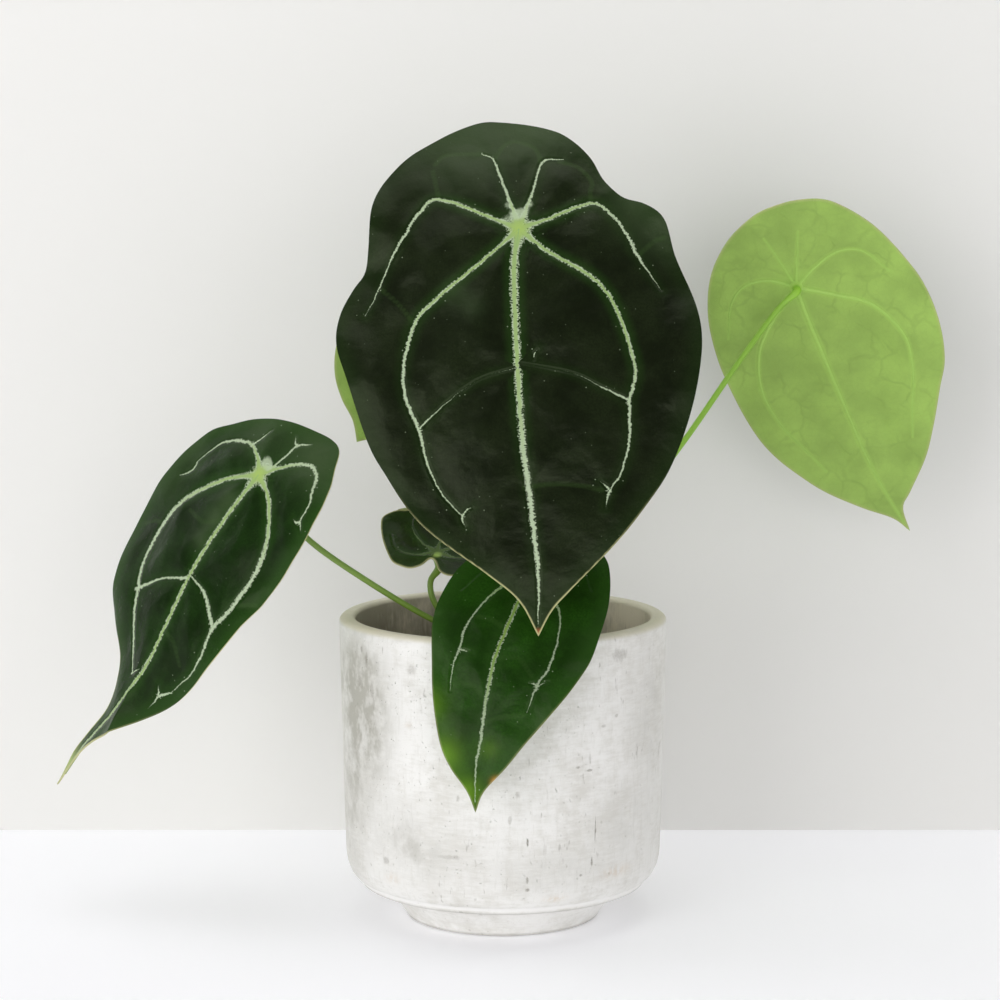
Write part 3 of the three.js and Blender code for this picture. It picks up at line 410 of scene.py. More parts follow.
class FillingSettings(bpy.types.PropertyGroup):
    """Sizes, amounts and colours of the potting mix and the crown."""

    height: size_setting("Mix height", "Height of the potting mix", 0.104)
    lumps: size_setting("Lumps", "Height of the lumps in its top", 0.0016)
    chips: IntProperty(name="Bark chips", description="Number of bark chips", default=210, min=0)
    grains: IntProperty(name="Perlite grains", description="Number of white grains", default=120,
                        min=0)
    strands: IntProperty(name="Fibres", description="Number of coconut fibres", default=60, min=0)
    soil: colour_setting("Soil", "Colour of the fine mix", 58, 42, 30)
    bark: colour_setting("Bark", "Colour of the bark chips", 112, 78, 50)
    bark_dark: colour_setting("Dark bark", "Colour of the damp bark", 60, 42, 30)
    perlite: colour_setting("Perlite", "Colour of the white grains", 222, 218, 208)
    fibre: colour_setting("Fibre", "Colour of the coconut fibres", 138, 100, 62)
    stem: colour_setting("Crown", "Colour of the short stem", 104, 96, 56)
    scale: colour_setting("Scale", "Colour of the papery scales", 150, 112, 70)
    root: colour_setting("Root", "Colour of the thick roots", 176, 164, 130)


class LeafSettings(bpy.types.PropertyGroup):
    """Sizes and colours of the leaves and stalks."""

    thickness: size_setting("Thickness", "Thickness of a blade", 0.0006)
    quilt: size_setting("Quilting", "Swell of a blade between its veins", 0.0013)
    quilt_reach: size_setting("Quilting reach", "How far from a vein the swell is full", 0.010)
    main: colour_setting("Largest leaf", "Upper face of the largest leaf", 22, 29, 14)
    left: colour_setting("Left leaf", "Upper face of the left leaf", 21, 42, 12)
    front: colour_setting("Front leaf", "Upper face of the low front leaf", 28, 60, 12)
    small: colour_setting("Small leaf", "Upper face of the smallest dark leaf", 22, 35, 13)
    young: colour_setting("Young leaves", "Upper face of the light leaves", 92, 134, 52)
    under: colour_setting("Underside", "Underside of the dark leaves", 118, 146, 84)
    under_young: colour_setting("Young underside", "Underside of the light leaves", 152, 185, 88)
    rib_young: colour_setting("Young rib", "Ribs under the light leaves", 164, 202, 96)
    halo: colour_setting("Halo", "Clear green beside the green veins", 36, 66, 20)
    fresh: colour_setting("Fresh edge", "Lighter green towards the edges", 50, 84, 32)
    veinlet: colour_setting("Veinlet", "Faint lines between the veins", 60, 86, 42)
    silver: colour_setting("Silver", "Silver of the veins", 176, 192, 160)
    lime: colour_setting("Vein core", "Green core of the veins near the stalk", 138, 168, 82)
    joint: colour_setting("Joint", "Spot over the stalk's joint", 160, 186, 96)
    # Painted sheen: the colour of the light caught in the grey-green patches.
    sheen: colour_setting("Pale patch", "Grey-green patches at the top of a blade", 62, 80, 50)
    margin: colour_setting("Margin", "Thin rim of a blade", 186, 184, 132)
    tip: colour_setting("Tip", "Dry tip of a blade", 150, 92, 60)
    tail: colour_setting("Tail", "Light green tail of the left leaf", 156, 172, 108)
    glow: colour_setting("Yellowing", "Yellow-green patches near an edge", 108, 152, 30)
    rust: colour_setting("Rust spot", "Orange spot beside a tip", 196, 126, 40)
    stalk: colour_setting("Stalk", "Colour of the older stalks", 122, 154, 62)
    stalk_young: colour_setting("Young stalk", "Colour of the light leaves' stalks", 142, 190, 62)
    stalk_base: colour_setting("Stalk foot", "Colour of the stalks at the crown", 112, 116, 62)


class StageSettings(bpy.types.PropertyGroup):
    """Camera, lights, table and wall."""

    camera_place: FloatVectorProperty(
        name="Camera place", description="Where the camera stands", size=3,
        default=(-0.00125, -1.1267, 0.3163), subtype="TRANSLATION", unit="LENGTH")
    camera_pitch: FloatProperty(
        name="Camera pitch", description="How far the camera looks down",
        default=math.radians(6.954), subtype="ANGLE", unit="ROTATION")
    lens: FloatProperty(name="Lens", description="Focal length in millimetres on a 36 mm sensor",
                        default=96.02, min=1.0)
    wall_distance: size_setting("Wall distance", "From the pot's axis to the wall", 0.141)
    table: colour_setting("Table", "Colour of the table", 234, 234, 238)
    table_glow: share_setting("Table glow", "Own light of the table, which softens its shadows",
                              0.235)
    wall: colour_setting("Wall", "Colour of the wall", 234, 233, 230)
    daylight: FloatProperty(name="Daylight", description="Strength of the light from all round",
                            default=1.1, min=0.0)
    dim_band: share_setting("Dim band", "Brightness of the sky between the low light and the top",
                            0.15)
    window: FloatProperty(name="Window", description="Power of the large soft light in watts",
                          default=18.0, min=0.0)


class Socket:
    """A value inside a material. Python's own signs on it add Math nodes."""

    def __init__(self, paint, socket):
        self.paint = paint
        self.socket = socket

    def __add__(self, other):
        return self.paint.math("ADD", self, other)

    __radd__ = __add__

    def __sub__(self, other):
        return self.paint.math("SUBTRACT", self, other)

    def __rsub__(self, other):
        return self.paint.math("SUBTRACT", other, self)

    def __mul__(self, other):
        return self.paint.math("MULTIPLY", self, other)

    __rmul__ = __mul__

    def __abs__(self):
        return self.paint.math("ABSOLUTE", self)


class Paint:
    """The nodes of one material, or of the world."""

    def __init__(self, name, owners=None):
        self.owner = (bpy.data.materials if owners is None else owners).new(name)
        self.owner.use_nodes = True
        self.tree = self.owner.node_tree
        self.tree.nodes.clear()

    def node(self, kind, settings=None, inputs=None, output=0):
        """Adds a node: its settings come first, then the values or links of its sockets."""
        node = self.tree.nodes.new(kind)
        for key, value in (settings or {}).items():
            setattr(node, key, value)
        for key, value in (inputs or {}).items():
            if isinstance(value, Socket):
                self.tree.links.new(value.socket, node.inputs[key])
            else:
                node.inputs[key].default_value = value
        return Socket(self, node.outputs[output]) if node.outputs else None

    def math(self, operation, *values):
        return self.node("ShaderNodeMath", {"operation": operation}, dict(enumerate(values)))

    def lower(self, a, b):
        return self.math("MINIMUM", a, b)

    def higher(self, a, b):
        return self.math("MAXIMUM", a, b)

    def ramp(self, value, start, end):
        """0 at start and 1 at end, with a smooth run between them."""
        return self.node("ShaderNodeMapRange", {"interpolation_type": "SMOOTHSTEP"},
                         {"Value": value, "From Min": start, "From Max": end})

    def mix(self, factor, first, second):
        """The first colour where factor is 0 and the second where it is 1."""
        inputs = {0: factor}
        for key, colour in ((6, first), (7, second)):
            inputs[key] = colour if isinstance(colour, Socket) else (*colour, 1)
        return self.node("ShaderNodeMix", {"data_type": "RGBA"}, inputs, 2)

    def attribute(self, name, output="Fac"):
        return self.node("ShaderNodeAttribute", {"attribute_name": name}, None, output)

    def place(self, stretch=(1, 1, 1)):
        """The object's own coordinates in millimetres, stretched along each axis."""
        whole = self.node("ShaderNodeTexCoord", None, None, "Object")
        return self.node("ShaderNodeMapping", None,
                         {"Vector": whole, "Scale": [k / MM for k in stretch]})

    def part(self, vector, axis):
        """One number of a vector."""
        return self.node("ShaderNodeSeparateXYZ", None, {"Vector": vector}, axis)

    def noise(self, place, scale, detail=2.0, rough=0.5):
        return self.node("ShaderNodeTexNoise", None, {
            "Vector": place, "Scale": scale, "Detail": detail, "Roughness": rough})

    def cells(self, place, scale, feature="F1"):
        """The distance to a random cell's middle, or to its edge."""
        return self.node("ShaderNodeTexVoronoi", {"feature": feature},
                         {"Vector": place, "Scale": scale})

    def surface(self, colour, roughness, height=None, **constants):
        """Ends the material. Height is in millimetres, and the constants are the shader's own."""
        inputs = {"Base Color": colour if isinstance(colour, Socket) else (*colour, 1),
                  "Roughness": roughness}
        inputs.update({key.replace("_", " "): value for key, value in constants.items()})
        if height is not None:
            inputs["Normal"] = self.node("ShaderNodeBump", None, {
                "Strength": 1.0, "Distance": MM, "Height": height})
        shader = self.node("ShaderNodeBsdfPrincipled", None, inputs)
        self.node("ShaderNodeOutputMaterial", None, {"Surface": shader})
        return self.owner


def smooth_line(points, steps=20):
    """A smooth line through the given points."""
    held = [Vector((*p, 0)[:3]) for p in points]
    held = [2 * held[0] - held[1], *held, 2 * held[-1] - held[-2]]
    line = []
    for a, b, c, d in zip(held, held[1:], held[2:], held[3:]):
        for i in range(steps):
            t = i / steps
            line.append((2 * b + (c - a) * t + (2 * a - 5 * b + 4 * c - d) * t * t
                         + (3 * b - a - 3 * c + d) * t ** 3) / 2)
    return line + [held[-2]]


class Line:
    """A smooth line that is read by the share of its length."""

    def __init__(self, points):
        self.points = smooth_line(points)
        self.marks = [0.0]
        for a, b in zip(self.points, self.points[1:]):
            self.marks.append(self.marks[-1] + (b - a).length)
        self.length = self.marks[-1]

    def at(self, share):
        reach = min(max(share, 0.0), 1.0) * self.length
        k = min(max(bisect.bisect_right(self.marks, reach), 1), len(self.points) - 1)
        a, b = self.marks[k - 1], self.marks[k]
        return self.points[k - 1].lerp(self.points[k], (reach - a) / max(b - a, 1e-9))

    def spread(self, step):
        """Its points at even steps of about this length, with the share of each."""
        count = max(2, round(self.length / step))
        return [(i / count, self.at(i / count)) for i in range(count + 1)]


def between(values, share):
    """A value from an evenly spaced list, read at a share of the way along it."""
    where = min(max(share, 0.0), 1.0) * (len(values) - 1)
    k = min(int(where), len(values) - 2)
    return values[k] + (values[k + 1] - values[k]) * (where - k)


def smoothstep(value):
    value = min(max(value, 0.0), 1.0)
    return value * value * (3 - 2 * value)


def bell(a, b, patch):
    """How high a round patch of (across, along, radius, height) stands at a place."""
    a0, b0, radius, height = patch
    return height * math.exp(-((a - a0) ** 2 + (b - b0) ** 2) / radius ** 2)


def jitter(rng, size):
    """A small random shift, up to this size along each axis."""
    return Vector([rng.uniform(-size, size) for _ in range(3)])


def search_tree(points):
    """A tree that finds the nearest of the points."""
    tree = KDTree(len(points))
    for i, point in enumerate(points):
        tree.insert(point, i)
    tree.balance()
    return tree


def sweep(bm, points, radii, sides, flatten=1.0, across=None):
    """A closed tube: a circle is extruded from each point to the next. Returns its vertices with
    the share of the way that each ring stands at."""
    frames = []
    side = across
    for i, point in enumerate(points):
        ahead = (points[min(i + 1, len(points) - 1)] - points[max(i - 1, 0)]).normalized()
        if side is None:
            side = ahead.orthogonal()
        side = (side - side.dot(ahead) * ahead).normalized()
        up = ahead.cross(side)
        turn = Matrix((side, up, ahead)).transposed().to_4x4()
        frames.append(Matrix.Translation(point) @ turn
                      @ Matrix.Diagonal((radii[i], radii[i] * flatten, radii[i], 1)))
    ring = bmesh.ops.create_circle(bm, cap_ends=False, segments=sides, radius=1,
                                   matrix=frames[0])["verts"]
    edges = list({e for v in ring for e in v.link_edges})
    rings = [(0.0, ring)]
    ends = [edges]
    for i in range(1, len(frames)):
        out = bmesh.ops.extrude_edge_only(bm, edges=edges)["geom"]
        ring = [g for g in out if isinstance(g, bmesh.types.BMVert)]
        edges = [g for g in out if isinstance(g, bmesh.types.BMEdge) and g.is_boundary]
        bmesh.ops.transform(bm, matrix=frames[i] @ frames[i - 1].inverted(), verts=ring)
        rings.append((i / (len(frames) - 1), ring))
    ends.append(edges)
    for edge_ring in ends:
        bmesh.ops.edgeloop_fill(bm, edges=edge_ring)
    verts = [v for _, ring in rings for v in ring]
    bmesh.ops.recalc_face_normals(bm, faces=list({f for v in verts for f in v.link_faces}))
    return rings


def spun(bm, profile, steps):
    """A closed turned shape about +Z from (radius, height) points that start and end on it."""
    last = bmesh.ops.create_vert(bm, co=(profile[0][0], 0, profile[0][1]))["vert"][0]
    for radius, height in profile[1:]:
        out = bmesh.ops.extrude_vert_indiv(bm, verts=[last])["verts"]
        last = out[0]
        last.co = (radius, 0, height)
    bmesh.ops.spin(bm, geom=bm.verts[:] + bm.edges[:], cent=(0, 0, 0), axis=(0, 0, 1),
                   angle=2 * math.pi, steps=steps, use_merge=True)
    bmesh.ops.remove_doubles(bm, verts=bm.verts[:], dist=1e-6)
    bmesh.ops.recalc_face_normals(bm, faces=bm.faces[:])


def arc(radius, height, size, start, end, steps):
    """Points of a rounded edge, with its angles in degrees."""
    angles = [math.radians(start + (end - start) * i / steps) for i in range(steps + 1)]
    return [(radius + size * math.cos(a), height + size * math.sin(a)) for a in angles]


def make_object(bm, name, materials):
    """Turns a bmesh into an object of the scene."""
    mesh = bpy.data.meshes.new(name)
    bm.to_mesh(mesh)
    bm.free()
    for material in materials:
        mesh.materials.append(material)
    made = bpy.data.objects.new(name, mesh)
    bpy.context.scene.collection.objects.link(made)
    return made


def make_piece(bm, name, materials, stands_for=None, crease=40):
    """Turns a bmesh into a piece that rides on the part's body."""
    bmesh.ops.triangulate(bm, faces=[f for f in bm.faces if len(f.verts) > 4])
    piece = make_object(bm, name, materials)
    piece.data.shade_smooth()
    piece.data.set_sharp_from_angle(angle=math.radians(crease))
    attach(piece, "root")
    if stands_for:
        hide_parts(stands_for)


class Blade:
    """One leaf's curved surface, its grid and its veins."""

    def __init__(self, shape, settings):
        self.shape = shape
        self.quilt = settings.quilt / MM
        self.quilt_reach = settings.quilt_reach / MM
        self.origin = Vector(shape["junction"])
        self.along = Vector(shape["heading"]).normalized()
        face = Vector(shape["face"])
        self.face = (face - face.dot(self.along) * self.along).normalized()
        self.across = self.face.cross(self.along)
        self.outline = Line([*shape["outline"], shape["outline"][0]])
        self.tip = Vector((*shape["outline"][0], 0))
        top = Vector((*shape["top"], 0))
        steps = 400
        self.split = min((i / steps for i in range(steps)),
                         key=lambda share: (self.outline.at(share) - top).length)
        above = self.outline.at(self.split)
        self.midrib = Line([(above.x, above.y), *shape["midrib"], shape["outline"][0]])
        self.veins = [(widths, core, Line(points)) for widths, core, points in shape["veins"]]
        strokes = [([w * STROKE_GROWTH for w in widths], 0.0, Line(points))
                   for widths, points in shape["strokes"]]
        self.silver = self.sampled(self.veins + strokes)
        self.silver_tree = search_tree([point for point, *_ in self.silver])
        lines = [line for _, _, line in self.veins]
        faint = [Line(points) for points in shape["faint"]]
        self.vein_tree = search_tree(self.spread(lines + faint))
        self.faint_tree = search_tree(self.spread(faint))
        self.edge_tree = search_tree(self.outline.points)
        self.rows = {}

    @staticmethod
    def spread(lines):
        """Points at even steps on all the lines."""
        return [point for line in lines for _, point in line.spread(VEIN_STEP)]

    @staticmethod
    def sampled(veins):
        """The veins' points, each with its direction, half-width, core and place along its vein."""
        found = []
        for number, (widths, core, line) in enumerate(veins):
            spots = line.spread(VEIN_STEP)
            for i, (share, point) in enumerate(spots):
                ahead = spots[min(i + 1, len(spots) - 1)][1] - spots[max(i - 1, 0)][1]
                lime = smoothstep((core - share) / 0.35 + 0.5) if core else 0.0
                found.append((point, ahead.normalized(), between(widths, share), lime,
                              share * line.length + number * VEIN_OFFSET))
        return found

    def at(self, a, b):
        """The point in millimetres of the surface at (across, along)."""
        shape = self.shape
        degrees, reach = shape["tip_bend"] if b > 0 else shape["back_bend"]
        bend = math.radians(degrees / reach) * b
        run = math.sin(bend) / bend if abs(bend) > 1e-6 else 1.0
        drop = (1 - math.cos(bend)) / bend if abs(bend) > 1e-6 else 0.0
        point = self.origin + self.along * (b * run) - self.face * (b * drop)
        up = self.face * math.cos(bend) + self.along * math.sin(bend)
        degrees, start, length = shape["twist"]
        turn = math.radians(degrees) * smoothstep((b - start) / length)
        side = self.across * math.cos(turn) + up * math.sin(turn)
        up = up * math.cos(turn) - self.across * math.sin(turn)
        degrees, start, length = shape["fold"]
        fold = math.radians(degrees) * smoothstep((b - start) / length)
        cup = math.radians(shape["cup"]) / CUP_WIDTH
        wide = abs(a)
        out = (math.sin(fold + cup * wide) - math.sin(fold)) / cup
        down = (math.cos(fold) - math.cos(fold + cup * wide)) / cup
        near = self.vein_tree.find((a, b, 0))[2]
        lift = self.quilt * (1 - math.exp(-(near / self.quilt_reach) ** 2))
        ripple = noise.noise(Vector((a, b, self.origin.x)) / RIPPLE_LENGTH)
        lift += RIPPLE_HEIGHT * ripple * min(near / RIPPLE_START, 1)
        for swell in shape["swells"]:
            lift += bell(a, b, swell)
        return point + side * math.copysign(out, a) + up * (lift - down)

    def normal(self, a, b, step=1.5):
        """The surface's outward direction, taken over a few millimetres."""
        ahead = self.at(a, b + step) - self.at(a, b - step)
        aside = self.at(a + step, b) - self.at(a - step, b)
        return ahead.cross(aside).normalized()

    def spot(self, vert):
        """Where a vertex of the plain grid lies on the blade, as (across, along)."""
        u, t = vert.co.x, round((1 - vert.co.y) / 2, 5)
        if t not in self.rows:
            share = max(t, 0.0) ** self.shape["fan"]
            self.rows[t] = (self.midrib.at(share), self.outline.at(self.split * (1 - t)),
                            self.outline.at(self.split + (1 - self.split) * t))
        middle, right, left = self.rows[t]
        return middle.lerp(right if u > 0 else left, abs(u))

    def sheet(self, bm):
        """A grid over the whole blade, finer at the veins, with what its material reads."""
        layers = bm.verts.layers
        place = layers.float_vector.new("leaf_place")
        marks = {name: layers.float.new(name) for name in (
            "vein_side", "vein_along", "vein_near", "vein_width", "vein_core", "joint_near",
            "edge_near", "tip_near", "faint_near", "pale_patch", "rust_patch", "frost_patch")}
        up = layers.float_vector.new("blade_up")
        bmesh.ops.create_grid(bm, x_segments=self.shape["columns"], y_segments=self.shape["rows"],
                              size=1)
        near_vein = {v for v in bm.verts if self.silver_tree.find(self.spot(v))[2] < FINE_REACH}
        bmesh.ops.subdivide_edges(bm, edges=[e for e in bm.edges if near_vein.issuperset(e.verts)],
                                  cuts=FINE_CUTS, use_grid_fill=True)
        for vert in bm.verts:
            spot = self.spot(vert)
            vert[place] = spot
            _, index, near = self.silver_tree.find(spot)
            point, ahead, width, lime, along = self.silver[index]
            values = {"vein_side": ahead.cross(spot - point).z, "vein_along": along,
                      "vein_near": near, "vein_width": width, "vein_core": lime,
                      "joint_near": spot.length, "edge_near": self.edge_tree.find(spot)[2],
                      "tip_near": (spot - self.tip).length,
                      "faint_near": self.faint_tree.find(spot)[2] or FAR}
            for kind in ("pale", "rust", "frost"):
                patches = self.shape[kind]
                values[f"{kind}_patch"] = min(1.0, sum(bell(spot.x, spot.y, p) for p in patches))
            for name, value in values.items():
                vert[marks[name]] = value
            vert.co = self.at(spot.x, spot.y) * MM
        bmesh.ops.remove_doubles(bm, verts=bm.verts[:], dist=1e-6)
        bm.normal_update()
        for vert in bm.verts:
            vert[up] = vert.normal

    def thicken(self, bm, thickness):
        """Gives the sheet its underside and its margin, which get the next two materials."""
        up = bm.verts.layers.float_vector["blade_up"]
        upper = set(bm.faces)
        made = bmesh.ops.extrude_face_region(bm, geom=bm.faces[:], use_keep_orig=True)["geom"]
        for vert in (g for g in made if isinstance(g, bmesh.types.BMVert)):
            vert.co -= vert[up] * thickness
        under = {g for g in made if isinstance(g, bmesh.types.BMFace)}
        for face in bm.faces:
            face.material_index = 0 if face in upper else 1 if face in under else 2
        bmesh.ops.recalc_face_normals(bm, faces=bm.faces[:])


def leaf_upper(kind, settings):
    """The faintly glossy upper face with its silver veins."""
    look = FACES[kind]
    green = getattr(settings, kind)
    paint = Paint(f"{kind}_velvet")
    place = paint.attribute("leaf_place", "Vector")
    near, width = paint.attribute("vein_near"), paint.attribute("vein_width")
    core, edge = paint.attribute("vein_core"), paint.attribute("edge_near")
    from_joint, from_tip = paint.attribute("joint_near"), paint.attribute("tip_near")
    side = paint.attribute("vein_side")
    grain = paint.noise(place, 5.0, 1.0)
    broad = paint.noise(place, 0.045, 4.0, 0.6)
    leather = paint.noise(place, 1.1, 2.0, 0.6)

    # The silver line wanders, has ragged teeth along its edges and widens towards the joint.
    along = paint.node("ShaderNodeCombineXYZ", None, {
        "X": paint.attribute("vein_along"), "Y": side * 0.4})
    teeth = paint.ramp(paint.noise(along, 1.7, 2.0, 0.7), 0.32, 0.68)
    wander = (paint.noise(place, 0.25, 1.0) - 0.5) * 0.9
    away = paint.higher(abs(side + wander), near - 0.8)
    wide = width + paint.ramp(from_joint, 10.0, 1.5) * 1.5
    reach = wide * (0.35 + 0.95 * teeth) - 0.15 * (1 - core)
    silver = paint.ramp(away, reach + 0.07, reach - 0.07)
    lime = paint.ramp(away, wide * 0.65, wide * 0.35) * core
    halo = paint.ramp(away - width, 4.5, 0.0) * (0.12 + 0.3 * look["fresh"] + 0.3 * core)

    # The green under it, with its mottling, lighter zones, pale patches of painted sheen (the front
    # leaf's are its yellowing) and faint veinlets.
    dark, light = look["tones"]
    base = paint.mix(paint.ramp(broad, 0.35, 0.65), shade(green, dark), shade(green, light))
    base = paint.mix(paint.ramp(leather, 0.62, 0.36) * 0.45, base, shade(green, 0.55))
    by_edge = paint.ramp(edge + broad * 8, 14.0, 3.0)
    base = paint.mix(by_edge * look["fresh"], base, settings.fresh)
    base = paint.mix(halo, base, settings.halo)
    # Painted sheen: the pale patches lay the grey-green of caught light on the main and left leaves;
    # on the front leaf they are its real yellowing, in the glow colour.
    base = paint.mix(paint.attribute("pale_patch"), base, getattr(settings, look["patch"]))
    veinlet = paint.ramp(paint.attribute("faint_near"), 1.5, 0.4)
    base = paint.mix(veinlet * 0.2, base, settings.veinlet)

    # The veins on it, then frost and the spot at the joint, dust, the tip and the margin.
    vein = paint.mix(paint.ramp(grain, 0.35, 0.65), shade(settings.silver, 0.8),
                     shade(settings.silver, 1.2))
    vein = paint.mix(lime * look["core"], vein, settings.lime)
    skin = paint.mix(silver * look["silver"], base, vein)
    frost = paint.attribute("frost_patch") * 1.3 - paint.noise(place, 0.9, 3.0, 0.8) * 0.9
    skin = paint.mix(paint.ramp(frost, -0.05, 0.55) * 0.75, skin, settings.silver)
    skin = paint.mix(paint.ramp(from_joint, look["spot"], 0.5) * 0.8, skin, settings.joint)
    skin = paint.mix(paint.attribute("rust_patch"), skin, settings.rust)
    by_vein = paint.ramp(near, 9.0, 1.0)
    dust = paint.ramp(paint.cells(place, 0.3), 0.09, 0.05)
    dust = dust * paint.ramp(paint.noise(place, 0.3, 0.0) + 0.12 * by_vein, 0.54, 0.6)
    skin = paint.mix(dust * (0.12 + 0.5 * by_vein), skin, settings.silver)
    if look["end"]:
        colour, begin, full = look["end"]
        skin = paint.mix(paint.ramp(from_tip, begin, full), skin, getattr(settings, colour))
    rim = paint.ramp(edge, 0.9, 0.2) * paint.ramp(from_tip, 90.0, 30.0)
    skin = paint.mix(rim * look["margin"], skin, settings.margin)

    height = 0.5 * paint.noise(place, 0.11, 2.0) + 0.06 * leather
    height = height - 0.25 * paint.ramp(near, width + 1.1, width * 0.4)
    return paint.surface(skin, 0.17 + 0.14 * grain, height, Specular_IOR_Level=look["gloss"],
                         Specular_Tint=(0.85, 0.97, 0.65, 1))


def leaf_under(name, green, bright, settings):
    """The matt underside with its raised veins and fine net."""
    paint = Paint(name)
    place = paint.attribute("leaf_place", "Vector")
    near, width = paint.attribute("vein_near"), paint.attribute("vein_width")
    broad = paint.noise(place, 0.05, 3.0)
    bent = paint.node("ShaderNodeVectorMath", {"operation": "ADD"}, {
        0: place, 1: paint.node("ShaderNodeVectorMath", {"operation": "SCALE"}, {
            0: paint.node("ShaderNodeTexNoise", None, {"Vector": place, "Scale": 0.12}, "Color"),
            "Scale": 7.0})})
    net = paint.cells(bent, 0.08, "DISTANCE_TO_EDGE")
    fine = paint.cells(bent, 0.4, "DISTANCE_TO_EDGE")
    line = paint.ramp(net, 0.1, 0.0) * paint.ramp(paint.noise(place, 0.06, 1.0), 0.4, 0.6)
    base = paint.mix(paint.ramp(broad, 0.3, 0.7), shade(green, 0.86), shade(green, 1.1))
    base = paint.mix(line * 0.3, base, shade(green, 0.66))
    base = paint.mix(paint.ramp(fine, 0.1, 0.0) * 0.12, base, shade(green, 0.7))
    rib = paint.ramp(near, width * 1.6 + 0.8, width * 0.5)
    skin = paint.mix(rib * 0.6, base, bright)
    skin = paint.mix(paint.ramp(paint.attribute("joint_near"), 14.0, 3.0) * 0.5, skin, bright)
    rim = paint.ramp(paint.attribute("edge_near"), 1.5, 0.2)
    skin = paint.mix(rim * 0.4, skin, settings.margin)
    height = 0.2 * paint.noise(place, 0.3, 2.0) + 0.1 * paint.ramp(net, 0.08, 0.0)
    height = height + 0.05 * paint.ramp(fine, 0.12, 0.0)
    return paint.surface(skin, 0.55 + 0.1 * broad, height, Specular_IOR_Level=0.3,
                         Sheen_Weight=0.1)


def leaf_rib(name, green):
    """The smooth raised ribs and the collar under a blade."""
    paint = Paint(name)
    share = paint.attribute("rib_share")
    streak = paint.noise(paint.place(), 0.9, 2.0)
    skin = paint.mix(share, shade(green, 1.15), shade(green, 0.92))
    skin = paint.mix(streak * 0.3, skin, shade(green, 0.75))
    return paint.surface(skin, 0.42 + 0.1 * streak, 0.05 * streak, Specular_IOR_Level=0.4)


def leaf_margin(name, colour, green):
    """The thin edge of a blade, in patches of two colours."""
    paint = Paint(name)
    patch = paint.noise(paint.place(), 0.15, 2.0)
    skin = paint.mix(paint.ramp(patch, 0.35, 0.65), colour, green)
    return paint.surface(skin, 0.5, 0.03 * patch, Specular_IOR_Level=0.4)


def stalk_paint(name, green, settings):
    """A smooth green stalk, browner at its foot, with fine streaks along it."""
    paint = Paint(name)
    share, turn = paint.attribute("stalk_share"), paint.attribute("stalk_turn")
    streak = paint.noise(paint.place(), 0.5, 3.0)
    line = paint.ramp(paint.math("SINE", turn * 12 + streak * 3), 0.5, 1.0)
    skin = paint.mix(paint.ramp(share, 0.25, 0.0), green, settings.stalk_base)
    skin = paint.mix(line * 0.25, skin, shade(green, 0.7))
    skin = paint.mix(paint.ramp(share, 0.93, 0.98), skin, shade(green, 1.2))
    speck = paint.ramp(paint.noise(paint.place(), 2.2, 1.0), 0.68, 0.78)
    skin = paint.mix(speck * 0.35, skin, settings.margin)
    return paint.surface(skin, 0.38 + 0.15 * streak, 0.08 * line + 0.05 * streak,
                         Specular_IOR_Level=0.45, Coat_Weight=0.06)


